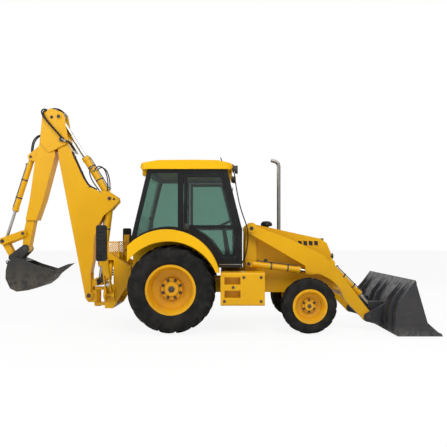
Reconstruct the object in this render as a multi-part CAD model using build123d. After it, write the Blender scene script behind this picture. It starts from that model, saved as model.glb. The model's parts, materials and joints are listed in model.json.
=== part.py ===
"""A backhoe loader, parked with its loader bucket down and its digging arm folded."""

import math
import os

from build123d import *

# Wheels and axles, with the rear axle as the zero of every length along x.
WHEELBASE = 2100.0
REAR_TYRE_R = 680.0
REAR_TYRE_W = 480.0
REAR_TYRE_Y = 810.0
REAR_RIM_R = 360.0
REAR_LUG_H = 42.0
REAR_LUG_W = 64.0
REAR_LUGS = 16
REAR_TYRE_SIDES = 26
FRONT_TYRE_R = 428.0
FRONT_TYRE_W = 300.0
FRONT_TYRE_Y = 840.0
FRONT_RIM_R = 240.0
FRONT_LUG_H = 26.0
FRONT_LUG_W = 44.0
FRONT_LUGS = 14
FRONT_TYRE_SIDES = 22
AXLE_FIT = 0.4
REAR_SHAFT_R = 60.0
REAR_HUB_R = 165.0
SPINDLE_R = 42.0
FRONT_HUB_R = 105.0
KINGPIN_Y = 600.0
KINGPIN_R = 30.0
KNUCKLE_R = 58.0
KNUCKLE_H = 180.0
FRONT_BEAM = 130.0
REAR_BEAM = 200.0

# Frame rails, loader posts and the rear frame that carries the digging arm.
RAIL_Y = 335.0
RAIL_W = 70.0
RAIL_LOW_Z = 585.0
RAIL_TOP_Z = 805.0
RAIL_REAR_Z = 1000.0
RAIL_FRONT_X = 2560.0
RAIL_REAR_X = -950.0
POST_INNER_Y = 400.0
POST_OUTER_Y = 490.0
POST_X = (1140.0, 1330.0)
TOW_X = 2605.0
TOW_Z = 650.0
TOW_T = 40.0
TOW_BORE_R = 20.0
REAR_FRAME_X = -1120.0
REAR_FRAME_Y = 430.0
REAR_FRAME_Z = (330.0, 1230.0)

# Loader: pins in (x, z), then the arms and the bucket.
ARM_PIVOT = (1237.0, 1615.0)
ARM_PIN_R = 45.0
ARM_Y = (500.0, 600.0)
BUCKET_PIN = (3078.0, 215.0)
BUCKET_PIN_R = 34.0
LIFT_BASE = (1194.0, 1054.0)
LIFT_EYE = (2140.0, 940.0)
LIFT_PIN_R = 28.0
TILT_BASE = (2500.0, 1060.0)
TILT_EYE = (3165.0, 390.0)
TILT_Y = 430.0
LIFT_Y = 550.0
CROSS_TUBE = (2750.0, 560.0)
CROSS_TUBE_R = 45.0
LOADER_W = 2290.0
LOADER_PLATE = 16.0
LOADER_TIP_X = 4025.0
LOADER_FLOOR_Z = 12.0
EAR_T = 22.0
LOADER_LIP = (3620.0, 840.0)
LOADER_NOTCH = (3800.0, 212.0)
LOADER_RIB_Y = (150.0, 720.0, 980.0)
LOADER_RIB_T = 18.0
LIFT_BARREL_R = 50.0
TILT_BARREL_R = 42.0

# Digging arm: pins in (x, z).
SWING_X = -1340.0
KING_R = 38.0
KING_BOSS_R = 60.0
KING_LUG_Z = ((330.0, 380.0), (590.0, 640.0))
BOOM_FOOT = (-1465.0, 500.0)
BOOM_FOOT_R = 40.0
BOOM_FOOT_EYE_R = 68.0
BOOM_FOOT_FRONT = 30.0
BOOM_ROD_EYE = (-1300.0, 735.0)
BOOM_ROD_PIN_R = 30.0
BOOM_HUMP = (-1120.0, 2130.0)
DIPPER_PIVOT = (-1908.0, 3115.0)
DIPPER_PIN_R = 40.0
DIPPER_ROD_EYE = (-1962.0, 3499.0)
BUCKET_CYL_BASE = (-2450.0, 2834.0)
IDLER_PIVOT = (-2562.0, 1542.0)
LINK_PIN = (-2908.0, 1412.0)
HOE_PIN = (-2539.0, 1287.0)
HOE_LINK_EYE = (-2760.0, 1136.0)
HOE_LINK_DUMP = 223.0
HOE_PIN_R = 32.0
BOOM_HALF = 105.0
BOOM_PLATE = 25.0
DIPPER_HALF = 112.0
DIPPER_PLATE = 22.0
DIPPER_HEAD_GAP = 88.0
NOSE_HALF = 78.0
LINK_EYE_R = 58.0
HOE_HALF = 188.0
HOE_PLATE = 14.0
HOE_CUTTER = 10.0
HOE_BARREL_R = 60.0
HUMP_FORK = 68.0
BUCKET_BARREL_R = 45.0
IDLER_T = 20.0
IDLER_PIN_R = 28.0
LINK_PIN_R = 26.0
LINK_Y = (40.0, 74.0)
RING = (-2842.0, 1040.0)
RING_R = 36.0
RING_BORE_R = 20.0
RING_HALF = 14.0

# Running clearances of pins, sliding rods and pieces that pass each other.
PIN_FIT = 0.4
ROD_FIT = 0.5
SIDE_GAP = 7.0
EAR_Y = NOSE_HALF + SIDE_GAP
POST_HALF = BOOM_HALF - BOOM_PLATE - SIDE_GAP
IDLER_Y = EAR_Y + EAR_T + 5

# Stabilizers.
STAB_PIVOT = (480.0, 555.0)
STAB_X = (-1110.0, -960.0)
STAB_PIN_R = 24.0
STAB_PAD_H = 540.0
STAB_PAD_T = 70.0
STAB_PAD_Z = 1385.0
STAB_PAD_Y = 1000.0
STAB_CYL_BASE = (270.0, 1150.0)
STAB_CYL_EYE = (577.0, 725.0)
STAB_BARREL_R = 36.0

# Cab, hood and body panels.
CAB_Y = 750.0
CAB_WALL = 60.0
CAB_FLOOR_Z = 1040.0
CAB_TOP_Z = 2530.0
ROOF_TOP_Z = 2672.0
ROOF_Y = 790.0
ROOF_X = (-505.0, 941.0)
GLASS_T = 6.0
DOOR_T = 42.0
DOOR_GAP = 7.0
DOOR_RAIL = 52.0
DOOR_BAR_Z = 1637.0
HINGE = (1036.0, CAB_Y + 14.0)
HINGE_Z = (1230.0, 1560.0)
HINGE_R = 13.0
FENDER_C = (-60.0, 783.0)
FENDER_R = 808.0
FENDER_T = 10.0
FENDER_Y = (545.0, 1050.0)
HOOD_X = 1204.0
HOOD_REAR_HALF = 390.0
HOOD_FRONT_HALF = 345.0
HOOD_T = 8.0
STACK_X = 1733.0
STACK_R = 32.0
STACK_TOP_Z = 2775.0
CLEANER_X = 1525.0
CLEANER_TOP_Z = 1757.0
BOX_X = (750.0, 1417.0)
BOX_Y = (500.0, 1000.0)
BOX_Z = (442.0, 941.0)

# The rearmost point is the pin of the bucket links, the foremost the bucket's edge.
REAR_REACH_X = LINK_PIN[0] - LINK_EYE_R
SHIFT_X = -(LOADER_TIP_X + REAR_REACH_X) / 2


def slab(face, y0, y1):
    """Extrude a face drawn in (x, z) from y0 to y1."""
    return Pos(0, y0, 0) * extrude(Plane.XZ * face, amount=y1 - y0, dir=(0, 1, 0))


def poly(*points):
    """A closed outline through the points as given."""
    return Polygon(*points, align=None)


def disc(point, radius):
    """A round face about a point."""
    return Pos(point[0], point[1]) * Circle(radius)


def strap(p, q, rp, rq):
    """The outline of a link with a round end about each of two points."""
    return make_hull(disc(p, rp).edges() + disc(q, rq).edges())


def pin_y(point, radius, y0, y1):
    """A round bar along y through a point in (x, z)."""
    return Pos(point[0], (y0 + y1) / 2, point[1]) * Rot(90, 0, 0) * Cylinder(radius, y1 - y0)


def bar_x(radius, x0, x1):
    """A round bar along x on the x axis."""
    return Pos((x0 + x1) / 2, 0, 0) * Rot(0, 90, 0) * Cylinder(radius, x1 - x0)


def block(x, y, z):
    """A box between three pairs of limits."""
    middle = Pos((x[0] + x[1]) / 2, (y[0] + y[1]) / 2, (z[0] + z[1]) / 2)
    return middle * Box(x[1] - x[0], y[1] - y[0], z[1] - z[0])


def both(part):
    """A piece and its mirror image on the other side of the machine."""
    return part + mirror(part, about=Plane.XZ)


def turned(profile):
    """Turn a profile of (radius, y) points about the y axis."""
    return revolve(poly(*profile), axis=Axis.Y)


def reach(p, q):
    """The distance from p to q and its angle above the x axis, in degrees."""
    return math.dist(p, q), math.degrees(math.atan2(q[1] - p[1], q[0] - p[0]))


def hydraulic(base, eye, barrel_r, rod_r, barrel_len, eye_w, inside, fork=0.0, neck=12.0):
    """A cylinder's barrel and rod in the plane y = 0, pinned at base and eye.

    The rod's end lies `inside` from the barrel's mouth. With a fork the base has two lugs,
    that far apart inside. The neck is the space between the base's eye and the barrel.
    """
    length, angle = reach(base, eye)
    eye_r = barrel_r * 0.95
    pin_r = barrel_r * 0.5
    wall = barrel_r * 0.9
    start = eye_r + neck
    barrel = bar_x(barrel_r, start, barrel_len) + bar_x(barrel_r + 7, barrel_len - 55, barrel_len)
    lug = pin_y((0, 0), eye_r, -eye_w / 2, eye_w / 2)
    lug += block((0, start + 8), (-eye_w / 2, eye_w / 2), (-wall, wall))
    lug -= pin_y((0, 0), pin_r + PIN_FIT, -eye_w, eye_w)
    if fork:
        lug -= block((-2 * eye_r, start), (-fork / 2, fork / 2), (-2 * eye_r, 2 * eye_r))
    barrel = barrel + lug - bar_x(rod_r + ROD_FIT, start + 28, barrel_len + 1)
    rod = bar_x(rod_r, barrel_len - inside, length - eye_r * 0.6)
    rod += pin_y((length, 0), eye_r, -eye_w / 2, eye_w / 2)
    place = Pos(base[0], 0, base[1]) * Rot(0, -angle, 0)
    return place * barrel, place * rod


def lug(radius, width, depth, lug_h, lug_w, lugs):
    """One lug at the foot of a tyre about the y axis, slanting out to the shoulder towards +y.

    Its tips lie a little outside the rolling radius, which is where the tyre stands between two tips.
    """
    half = width / 2
    pitch = math.tau / lugs
    tip = radius / math.cos(pitch / 4)
    top = tip * math.cos(pitch / 2)
    shift = tip * math.sin(pitch / 2) - lug_w / 2
    root = radius - lug_h - depth * 0.25
    section = poly((-lug_w * 0.62, -root), (lug_w * 0.62, -root), (lug_w / 2, -top), (-lug_w / 2, -top))
    run = Vector(2 * shift, half * 0.94, depth * 0.15)
    return extrude(Pos(-shift, half * 0.03, 0) * (Plane.XZ * section), amount=run.length, dir=run)


def tyre(radius, width, rim_r, lug_h, lug_w, lugs, sides):
    """A tyre about the y axis: many-sided carcass with bulged walls, and two staggered rows of lugs."""
    half = width / 2
    depth = radius - rim_r
    crown = radius - lug_h
    side = [
        (rim_r + 22, half * 0.79), (rim_r + depth * 0.42, half), (crown - depth * 0.15, half * 0.95),
        (crown, half * 0.55),
    ]
    rings = side + [(r, -y) for r, y in reversed(side)]
    carcass = loft([Pos(0, y, 0) * Rot(90, 0, 0) * RegularPolygon(r, sides) for r, y in rings], ruled=True)
    carcass -= pin_y((0, 0), rim_r, -width, width)
    outward = lug(radius, width, depth, lug_h, lug_w, lugs)
    inward = mirror(outward, about=Plane.XZ)
    pitch = 360 / lugs
    bars = []
    for step in range(lugs):
        bars.append(Rot(0, (step + 0.25) * pitch, 0) * outward)
        bars.append(Rot(0, (step + 0.75) * pitch, 0) * inward)
    return carcass.fuse(*bars)


def rim(rim_r, width, hub_r, bore_r, hub_y, disc_y, shaft_end):
    """A dished rim with its hub, the outer side towards +y, about the y axis.

    hub_y holds the hub's inner and outer faces, and shaft_end the depth of its bore.
    """
    half = width / 2 * 0.80
    skin = 14.0
    outer = rim_r - 0.3
    barrel = turned([
        (outer, -half), (outer, half), (outer + 22, half), (outer + 22, half + 14),
        (outer - skin, half + 14), (outer - skin - 40, half * 0.45), (outer - skin - 40, -half),
    ])
    dish = turned([
        (hub_r - 20, disc_y), (outer - skin - 45, disc_y + 30), (outer - skin - 35, disc_y + 30),
        (outer - skin - 35, disc_y + 8), (hub_r - 20, disc_y - 22),
    ])
    hub = turned([
        (0, hub_y[0]), (hub_r, hub_y[0]), (hub_r, hub_y[1] - 40), (hub_r * 0.72, hub_y[1] - 34),
        (hub_r * 0.62, hub_y[1]), (0, hub_y[1]),
    ])
    bore = pin_y((0, 0), bore_r, hub_y[0] - 1, shaft_end)
    return barrel + dish + hub - bore


def rear_wheel():
    """The rear tyre and rim, on the side towards +y, at their place on the axle."""
    place = Pos(0, REAR_TYRE_Y, REAR_TYRE_R)
    wheel = rim(REAR_RIM_R, REAR_TYRE_W, REAR_HUB_R, REAR_SHAFT_R + AXLE_FIT, (-150, 55), -40, -40)
    rubber = tyre(
        REAR_TYRE_R, REAR_TYRE_W, REAR_RIM_R, REAR_LUG_H, REAR_LUG_W, REAR_LUGS, REAR_TYRE_SIDES
    )
    return place * rubber, place * wheel


def front_wheel():
    """The front tyre and rim, on the side towards +y, at their place on the spindle."""
    place = Pos(WHEELBASE, FRONT_TYRE_Y, FRONT_TYRE_R)
    wheel = rim(FRONT_RIM_R, FRONT_TYRE_W, FRONT_HUB_R, SPINDLE_R + AXLE_FIT, (-100, 70), -10, 20)
    rubber = tyre(
        FRONT_TYRE_R, FRONT_TYRE_W, FRONT_RIM_R, FRONT_LUG_H, FRONT_LUG_W, FRONT_LUGS, FRONT_TYRE_SIDES
    )
    return place * rubber, place * wheel


def rear_axle():
    """The rear beam with its round middle case, saddles under the rails and drive shafts."""
    half = REAR_BEAM / 2
    beam_y = REAR_TYRE_Y - REAR_TYRE_W / 2 - 30
    centre = (0, REAR_TYRE_R)
    saddle_top = RAIL_REAR_Z - 200
    beam = block((-half, half), (-beam_y, beam_y), (REAR_TYRE_R - half, REAR_TYRE_R + half))
    beam = fillet(beam.edges().filter_by(Axis.Y), 35)
    case = pin_y(centre, 230, -170, 170)
    drive = Pos(320, 0, REAR_TYRE_R) * Rot(0, 90, 0) * Cylinder(120, 640)
    shafts = pin_y(centre, REAR_SHAFT_R, -REAR_TYRE_Y + 60, REAR_TYRE_Y - 60)
    saddles = both(block((-70, 70), (RAIL_Y - 50, RAIL_Y + 50), (REAR_TYRE_R, saddle_top)))
    return beam + case + drive + shafts + saddles


def front_axle():
    """The front beam with its middle pivot and a fork with a kingpin at each end."""
    half = FRONT_BEAM / 2
    x, z = WHEELBASE, FRONT_TYRE_R
    fork_in = KINGPIN_Y - KNUCKLE_R - 20
    beam = block((x - half, x + half), (-fork_in, fork_in), (z - half, z + half))
    beam = fillet(beam.edges().filter_by(Axis.Y), 25)
    pivot = Pos(x, 0, z + half) * Rot(0, 90, 0) * Cylinder(75, 180)
    fork_z = KNUCKLE_H / 2 + 4
    plate = extrude(
        make_hull(
            (Pos(x, KINGPIN_Y) * Circle(KNUCKLE_R)).edges()
            + (Pos(x, fork_in - 60) * Rectangle(FRONT_BEAM, 40)).edges()
        ),
        amount=32,
        dir=(0, 0, 1),
    )
    upper = Pos(0, 0, z + fork_z) * plate
    lower = Pos(0, 0, z - fork_z - 32) * plate
    back = block((x - half, x + half), (fork_in - 70, fork_in), (z - fork_z - 32, z + fork_z + 32))
    kingpin = Pos(x, KINGPIN_Y, z) * Cylinder(KINGPIN_R, 2 * fork_z + 40)
    ram_z = z - 62
    ram = Pos(x - half - 40, 0, ram_z) * Rot(90, 0, 0) * Cylinder(42, 620)
    ram += both(block((x - half - 45, x - half), (180, 220), (ram_z - 30, ram_z + 30)))
    return beam + pivot + both(upper + lower + back + kingpin) + ram


def knuckle():
    """The steering knuckle on the side towards +y, with its spindle and steering arm."""
    x, z = WHEELBASE, FRONT_TYRE_R
    post = Pos(x, KINGPIN_Y, z) * Cylinder(KNUCKLE_R, KNUCKLE_H)
    spindle = pin_y((x, z), SPINDLE_R, KINGPIN_Y, FRONT_TYRE_Y + 10)
    shoulder = pin_y((x, z), 75, KINGPIN_Y + 20, FRONT_TYRE_Y - 101)
    arm = block((x - 150, x), (KINGPIN_Y - 25, KINGPIN_Y + 25), (z - 20, z + 20))
    bore = Pos(x, KINGPIN_Y, z) * Cylinder(KINGPIN_R + PIN_FIT, KNUCKLE_H + 20)
    return post + spindle + shoulder + arm - bore


def main_frame():
    """The two rails, raised over the rear axle, their cross members and the loader posts."""
    y0, y1 = RAIL_Y - RAIL_W / 2, RAIL_Y + RAIL_W / 2
    profile = poly(
        (RAIL_FRONT_X, RAIL_TOP_Z), (RAIL_FRONT_X, RAIL_LOW_Z), (330, RAIL_LOW_Z),
        (200, RAIL_REAR_Z - 200), (RAIL_REAR_X, RAIL_REAR_Z - 200), (RAIL_REAR_X, RAIL_REAR_Z),
        (320, RAIL_REAR_Z), (470, RAIL_TOP_Z),
    )
    frame = both(slab(profile, y0, y1))
    for x in (RAIL_FRONT_X - 60, 700.0, RAIL_REAR_X + 200):
        z = RAIL_LOW_Z + 60 if x > 0 else RAIL_REAR_Z - 150
        frame += block((x - 40, x + 40), (-y0, y0), (z - 40, z + 60))
    for x in (WHEELBASE - 150, WHEELBASE + 90):
        frame += block((x, x + 60), (-y0, y0), (FRONT_TYRE_R + 10, RAIL_TOP_Z - 40))
    foot_z = RAIL_TOP_Z - 160
    post = slab(
        poly(
            (POST_X[0], foot_z), (POST_X[1], foot_z), (POST_X[1] - 10, 1250),
            (ARM_PIVOT[0] + 75, ARM_PIVOT[1]), (ARM_PIVOT[0] + 40, ARM_PIVOT[1] + 90),
            (ARM_PIVOT[0] - 40, ARM_PIVOT[1] + 90), (POST_X[0] + 10, ARM_PIVOT[1]),
        ),
        POST_INNER_Y, POST_OUTER_Y,
    )
    foot = block(POST_X, (y1, POST_OUTER_Y), (foot_z, RAIL_TOP_Z))
    post -= pin_y(ARM_PIVOT, ARM_PIN_R + PIN_FIT, POST_INNER_Y - 1, POST_OUTER_Y + 1)
    post -= pin_y(LIFT_BASE, LIFT_PIN_R + PIN_FIT, POST_INNER_Y - 1, POST_OUTER_Y + 1)
    hanger = block((BOX_X[0] + 60, BOX_X[1] - 200), (y1, BOX_Y[0]), (RAIL_LOW_Z + 20, RAIL_TOP_Z - 40))
    tow = block((RAIL_FRONT_X - 40, TOW_X + 45), (-50, 50), (TOW_Z - TOW_T / 2, TOW_Z + TOW_T / 2))
    frame += tow - Pos(TOW_X, 0, TOW_Z) * Cylinder(TOW_BORE_R, 2 * TOW_T)
    return frame + both(post + foot + hanger)


def rear_frame():
    """The box behind the rear axle: side walls, back wall, swing lugs and stabilizer brackets."""
    low, top = REAR_FRAME_Z
    back = REAR_FRAME_X
    wall = 40.0
    y = REAR_FRAME_Y
    side = slab(
        poly((RAIL_REAR_X + 250, RAIL_REAR_Z - 200), (RAIL_REAR_X + 250, RAIL_REAR_Z), (back + 60, top),
             (back, top), (back, low), (back + 130, low)),
        y - wall, y,
    )
    x = sum(STAB_X) / 2
    frame = both(side - block((x - 55, x + 55), (y - 2 * wall, y + wall), (715, 1110)))
    frame += block((back, back + wall), (-y, y), (low, low + 330))
    frame += block((back, back + wall), (-y, y), (top - 250, top))
    frame += block((back + wall, back + 130), (-y, y), (low, low + 40))
    frame += both(block((RAIL_REAR_X, RAIL_REAR_X + 250), (RAIL_Y + RAIL_W / 2, y),
                        (RAIL_REAR_Z - 160, RAIL_REAR_Z - 40)))
    for z0, z1 in KING_LUG_Z:
        tongue = make_hull(
            (Pos(SWING_X, 0) * Circle(KING_BOSS_R)).edges()
            + (Pos(back + 20, 0) * Rectangle(40, 2 * KING_BOSS_R)).edges()
        )
        frame += Pos(0, 0, z0) * extrude(tongue, amount=z1 - z0, dir=(0, 0, 1))
        frame -= Pos(SWING_X, 0, (z0 + z1) / 2) * Cylinder(KING_R + PIN_FIT, 2 * (z1 - z0))
    ear_y = STAB_PIVOT[0]
    for x0, x1 in ((STAB_X[0] - 10, STAB_X[0] + 20), (STAB_X[1] - 20, STAB_X[1] + 10)):
        ear = make_hull(
            (Pos(ear_y, STAB_PIVOT[1]) * Circle(62)).edges()
            + (Pos(y - 20, STAB_PIVOT[1]) * Rectangle(40, 260)).edges()
        )
        frame += both(Pos(x0, 0, 0) * extrude(Plane.YZ * ear, amount=x1 - x0, dir=(1, 0, 0)))
    stab_pin = Pos(sum(STAB_X) / 2, ear_y, STAB_PIVOT[1]) * Rot(0, 90, 0) * Cylinder(STAB_PIN_R, 170)
    frame += both(stab_pin)
    cyl_y, cyl_z = STAB_CYL_BASE
    for x0, x1 in ((x - 62, x - 42), (x + 42, x + 62)):
        frame += both(block((x0, x1), (cyl_y - 45, y - wall), (cyl_z - 55, cyl_z + 55)))
    frame += both(Pos(x, cyl_y, cyl_z) * Rot(0, 90, 0) * Cylinder(STAB_BARREL_R / 2, 124))
    return frame


def engine_block():
    """The engine as one plain block between the rails, on its two mounts."""
    body = block((1345, 1945), (-250, 250), (640, 1330))
    mounts = block((1500, 1620), (-RAIL_Y + RAIL_W / 2, RAIL_Y - RAIL_W / 2), (660, 740))
    return body + mounts


def hood_form(inset):
    """The hood's outer form, drawn in by an inset and then open below and behind."""
    side = poly(
        (HOOD_X, RAIL_TOP_Z), (HOOD_X, 1707), (2379, 1453), (2484, 1379), (2552, 1217),
        (2637, 947), (2640, RAIL_TOP_Z),
    )
    plan = poly(
        (HOOD_X, -HOOD_REAR_HALF), (2380, -HOOD_FRONT_HALF), (2560, -HOOD_FRONT_HALF + 25),
        (2645, -HOOD_FRONT_HALF + 85), (2645, HOOD_FRONT_HALF - 85), (2560, HOOD_FRONT_HALF - 25),
        (2380, HOOD_FRONT_HALF), (HOOD_X, HOOD_REAR_HALF),
    )
    if inset:
        side = offset(side, -inset)
        plan = offset(plan, -inset)
        side = side + Pos(-2 * inset, 0) * side
        side = side + Pos(0, -2 * inset) * side
        plan = plan + Pos(-2 * inset, 0) * plan
    wide = slab(side, -HOOD_REAR_HALF, HOOD_REAR_HALF)
    return wide & extrude(plan, amount=2 * CAB_TOP_Z, dir=(0, 0, 1))


def hood():
    """The thin hood with its grille opening, side slots and holes for the two pipes."""
    shell = hood_form(0) - hood_form(HOOD_T)
    shell -= block((2480, 2700), (-215, 215), (900, 1290))
    for step in range(5):
        x = 1920 + step * 88
        slot = slab(poly((x, 1350), (x + 62, 1338), (x + 62, 1410), (x, 1422)), -500, 500)
        shell -= slot
    shell -= Pos(STACK_X, 0, 1600) * Cylinder(STACK_R + 12, 400)
    shell -= Pos(CLEANER_X, 0, 1600) * Cylinder(52, 400)
    return shell


def grille():
    """A slotted panel close behind the hood's nose, with the two headlamp bezels."""
    panel = hood_form(HOOD_T) - hood_form(HOOD_T + 14)
    panel &= block((2470, 2700), (-245, 245), (870, 1320))
    for step in range(8):
        z = 925 + step * 44
        panel -= block((2400, 2700), (-185, 185), (z, z + 24))
    return panel


def exhaust_stack():
    """The upright exhaust pipe with its tip bent backwards."""
    path = FilletPolyline(
        (STACK_X, 0, 1330), (STACK_X, 0, STACK_TOP_Z - 25), (STACK_X - 130, 0, STACK_TOP_Z + 10), radius=90
    )
    ring = Circle(STACK_R) - Circle(STACK_R - 4)
    return sweep(Plane(origin=path @ 0, z_dir=path % 0) * ring, path=path)


def pre_cleaner():
    """The air intake's stem and its round cap."""
    low = 1330
    top = CLEANER_TOP_Z
    form = poly(
        (0, low), (40, low), (40, top - 95), (88, top - 90), (100, top - 70), (92, top - 35),
        (60, top - 8), (0, top),
    )
    return Pos(CLEANER_X, 0, 0) * revolve(Plane.XZ * form, axis=Axis.Z)


def fender():
    """The rear fender on the side towards +y: arched sheet, outer lip and inner wall."""
    y0, y1 = FENDER_Y
    window = poly((-646, 940), (-646, 1700), (800, 1700), (800, 940))
    outer = disc(FENDER_C, FENDER_R) & window
    sheet = outer - disc(FENDER_C, FENDER_R - FENDER_T)
    lip = outer - disc((-30, 640), 770)
    wall = outer & poly((-646, RAIL_REAR_Z), (-646, 1700), (800, 1700), (800, RAIL_REAR_Z))
    part = slab(sheet, y0, y1) + slab(lip, y1 - FENDER_T, y1) + slab(wall, y0, y0 + FENDER_T)
    return part


def cab_outline():
    """The cab's side outline above the floor, resting on the fender's arch."""
    return poly(
        (-640, 1200), (-640, 1455), (-383, CAB_TOP_Z), (850, CAB_TOP_Z), (1076, 1629), (1088, 1045),
    ) - disc(FENDER_C, FENDER_R)


def door_opening():
    """The doorway in the cab's side."""
    return poly(
        (174, 2470), (795, 2470), (1013, 1620), (1026, 1100), (500, 1100), (174, 1400),
    ) - disc(FENDER_C, FENDER_R + 55)


def quarter_opening():
    """The window behind the doorway."""
    return poly((-325, 2470), (87, 2470), (87, 1400), (-575, 1400), (-575, 1460)) - disc(
        FENDER_C, FENDER_R + 50
    )


def door_face():
    """The door's outline, a gap smaller than its opening."""
    return offset(door_opening(), -DOOR_GAP)


def hinge_half(z, x_far, y0):
    """A hinge leaf with its knuckle, 40 high from z, on the side towards +y."""
    x0, x1 = sorted((HINGE[0], x_far))
    leaf = block((x0, x1), (y0, CAB_Y + 8), (z, z + 40))
    return leaf + Pos(HINGE[0], HINGE[1], z + 20) * Cylinder(HINGE_R, 40)


def cab_frame():
    """The black pillars and rails, with the doorway and quarter window cut in each side."""
    side = cab_outline() - door_opening() - quarter_opening()
    frame = both(slab(side, CAB_Y - CAB_WALL, CAB_Y))
    inner = CAB_Y - CAB_WALL
    frame += block((770, 846), (-inner, inner), (2470, CAB_TOP_Z))
    frame += block((-379, -315), (-inner, inner), (2470, CAB_TOP_Z))
    frame += block((-640, -600), (-inner, inner), (1440, 1500))
    for z in HINGE_Z:
        half = hinge_half(z, HINGE[0] + 30, CAB_Y - 1)
        half += Pos(HINGE[0], HINGE[1], z + 60) * Cylinder(6, 50)
        frame += both(half)
    return frame


def door(side):
    """A door's frame and its two panes; side is 1 towards +y and -1 towards -y."""
    outer = door_face()
    y1 = CAB_Y - 5
    y0 = y1 - DOOR_T
    bar = poly((100, DOOR_BAR_Z - 25), (1100, DOOR_BAR_Z - 25), (1100, DOOR_BAR_Z + 25), (100, DOOR_BAR_Z + 25))
    panes = offset(outer, -DOOR_RAIL) - bar
    frame = slab(outer - panes, y0, y1)
    middle = (y0 + y1) / 2
    glass = slab(panes, middle - GLASS_T / 2, middle + GLASS_T / 2)
    for z in HINGE_Z:
        leaf = hinge_half(z + 42, HINGE[0] - 80, CAB_Y + 1)
        leaf += block((HINGE[0] - 80, HINGE[0] - 30), (y1 - 1, CAB_Y + 8), (z + 42, z + 82))
        frame += leaf - Pos(HINGE[0], HINGE[1], z + 62) * Cylinder(6 + PIN_FIT, 60)
    if side < 0:
        frame, glass = mirror(frame, about=Plane.XZ), mirror(glass, about=Plane.XZ)
    return frame, glass


def cab_roof():
    """The crowned roof slab with rounded corners in plan and its front and rear work lamps."""
    x0, x1 = ROOF_X
    top = ROOF_TOP_Z
    side = poly(
        (x0, CAB_TOP_Z + 35), (x0 + 25, CAB_TOP_Z), (x1 - 40, CAB_TOP_Z), (x1, CAB_TOP_Z + 35),
        (x1 - 12, top - 55), (x1 - 240, top - 6), (x1 - 640, top), (x0 + 300, top - 5), (x0 + 25, top - 48),
    )
    plan = Pos((x0 + x1) / 2, 0) * RectangleRounded(x1 - x0, 2 * ROOF_Y, 130)
    roof = slab(side, -ROOF_Y, ROOF_Y) & extrude(plan, amount=2 * CAB_TOP_Z, dir=(0, 0, 1))
    for x in (x0 + 20, x1 - 75):
        for y in (-520, 520):
            roof += block((x, x + 60), (y - 75, y + 75), (CAB_TOP_Z - 75, CAB_TOP_Z + 30))
    return roof


def cab_floor():
    """The cab's floor, front wall and rear wall, and the seat's pedestal."""
    low = RAIL_REAR_Z
    inner = CAB_Y - CAB_WALL
    floor = block((-640, 720), (-FENDER_Y[0], FENDER_Y[0]), (low, CAB_FLOOR_Z))
    floor += block((720, 1088), (-inner, inner), (low, CAB_FLOOR_Z))
    front = block((1048, 1088), (-inner, inner), (low, 1629))
    rear = block((-640, -600), (-FENDER_Y[0], FENDER_Y[0]), (low, 1440))
    pedestal = block((180, 520), (-190, 190), (CAB_FLOOR_Z, 1330))
    return floor + front + rear + pedestal


def cab_glass():
    """The windscreen, the rear window and the two quarter windows."""
    inner = CAB_Y - CAB_WALL
    screen = slab(poly((1042, 1629), (1048, 1629), (852, 2470), (846, 2470)), -inner, inner)
    rear = slab(poly((-618, 1500), (-612, 1500), (-372, 2470), (-378, 2470)), -inner, inner)
    middle = CAB_Y - CAB_WALL / 2
    quarter = slab(quarter_opening(), middle - GLASS_T / 2, middle + GLASS_T / 2)
    return screen + rear + both(quarter)


def seat():
    """The operator's seat: cushion and backrest."""
    cushion = block((130, 640), (-250, 250), (1330.3, 1450))
    back = slab(poly((120, 1450), (240, 1450), (170, 2050), (70, 2050)), -240, 240)
    return fillet(cushion.edges(), 30) + fillet(back.edges(), 30)


def cab_controls():
    """The steering column and wheel, and the lever stand at the rear."""
    column = slab(poly((840, CAB_FLOOR_Z), (940, CAB_FLOOR_Z), (830, 1640), (770, 1620)), -60, 60)
    wheel = Pos(775, 0, 1690) * Rot(0, -25, 0) * (Torus(190, 16) + Box(370, 36, 16) + Box(36, 370, 16))
    stem = Pos(788, 0, 1650) * Rot(0, -25, 0) * Cylinder(22, 100)
    stand = block((-520, -340), (-200, 200), (CAB_FLOOR_Z, 1560))
    for y in (-150, -50, 50, 150):
        stand += Pos(-430, y, 1660) * Cylinder(9, 240) + Pos(-430, y, 1790) * Sphere(24)
    return column + wheel + stem + stand


def step_boxes():
    """The tool box and the tank between the wheels, each with two foot steps."""
    form = block(BOX_X, BOX_Y, BOX_Z)
    form = fillet(form.edges().filter_by(Axis.X), 30)
    for z in (BOX_Z[0] + 120, BOX_Z[0] + 320):
        form -= block((BOX_X[0] + 60, BOX_X[0] + 300), (BOX_Y[1] - 110, BOX_Y[1] + 1), (z, z + 110))
    return both(form)


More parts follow.
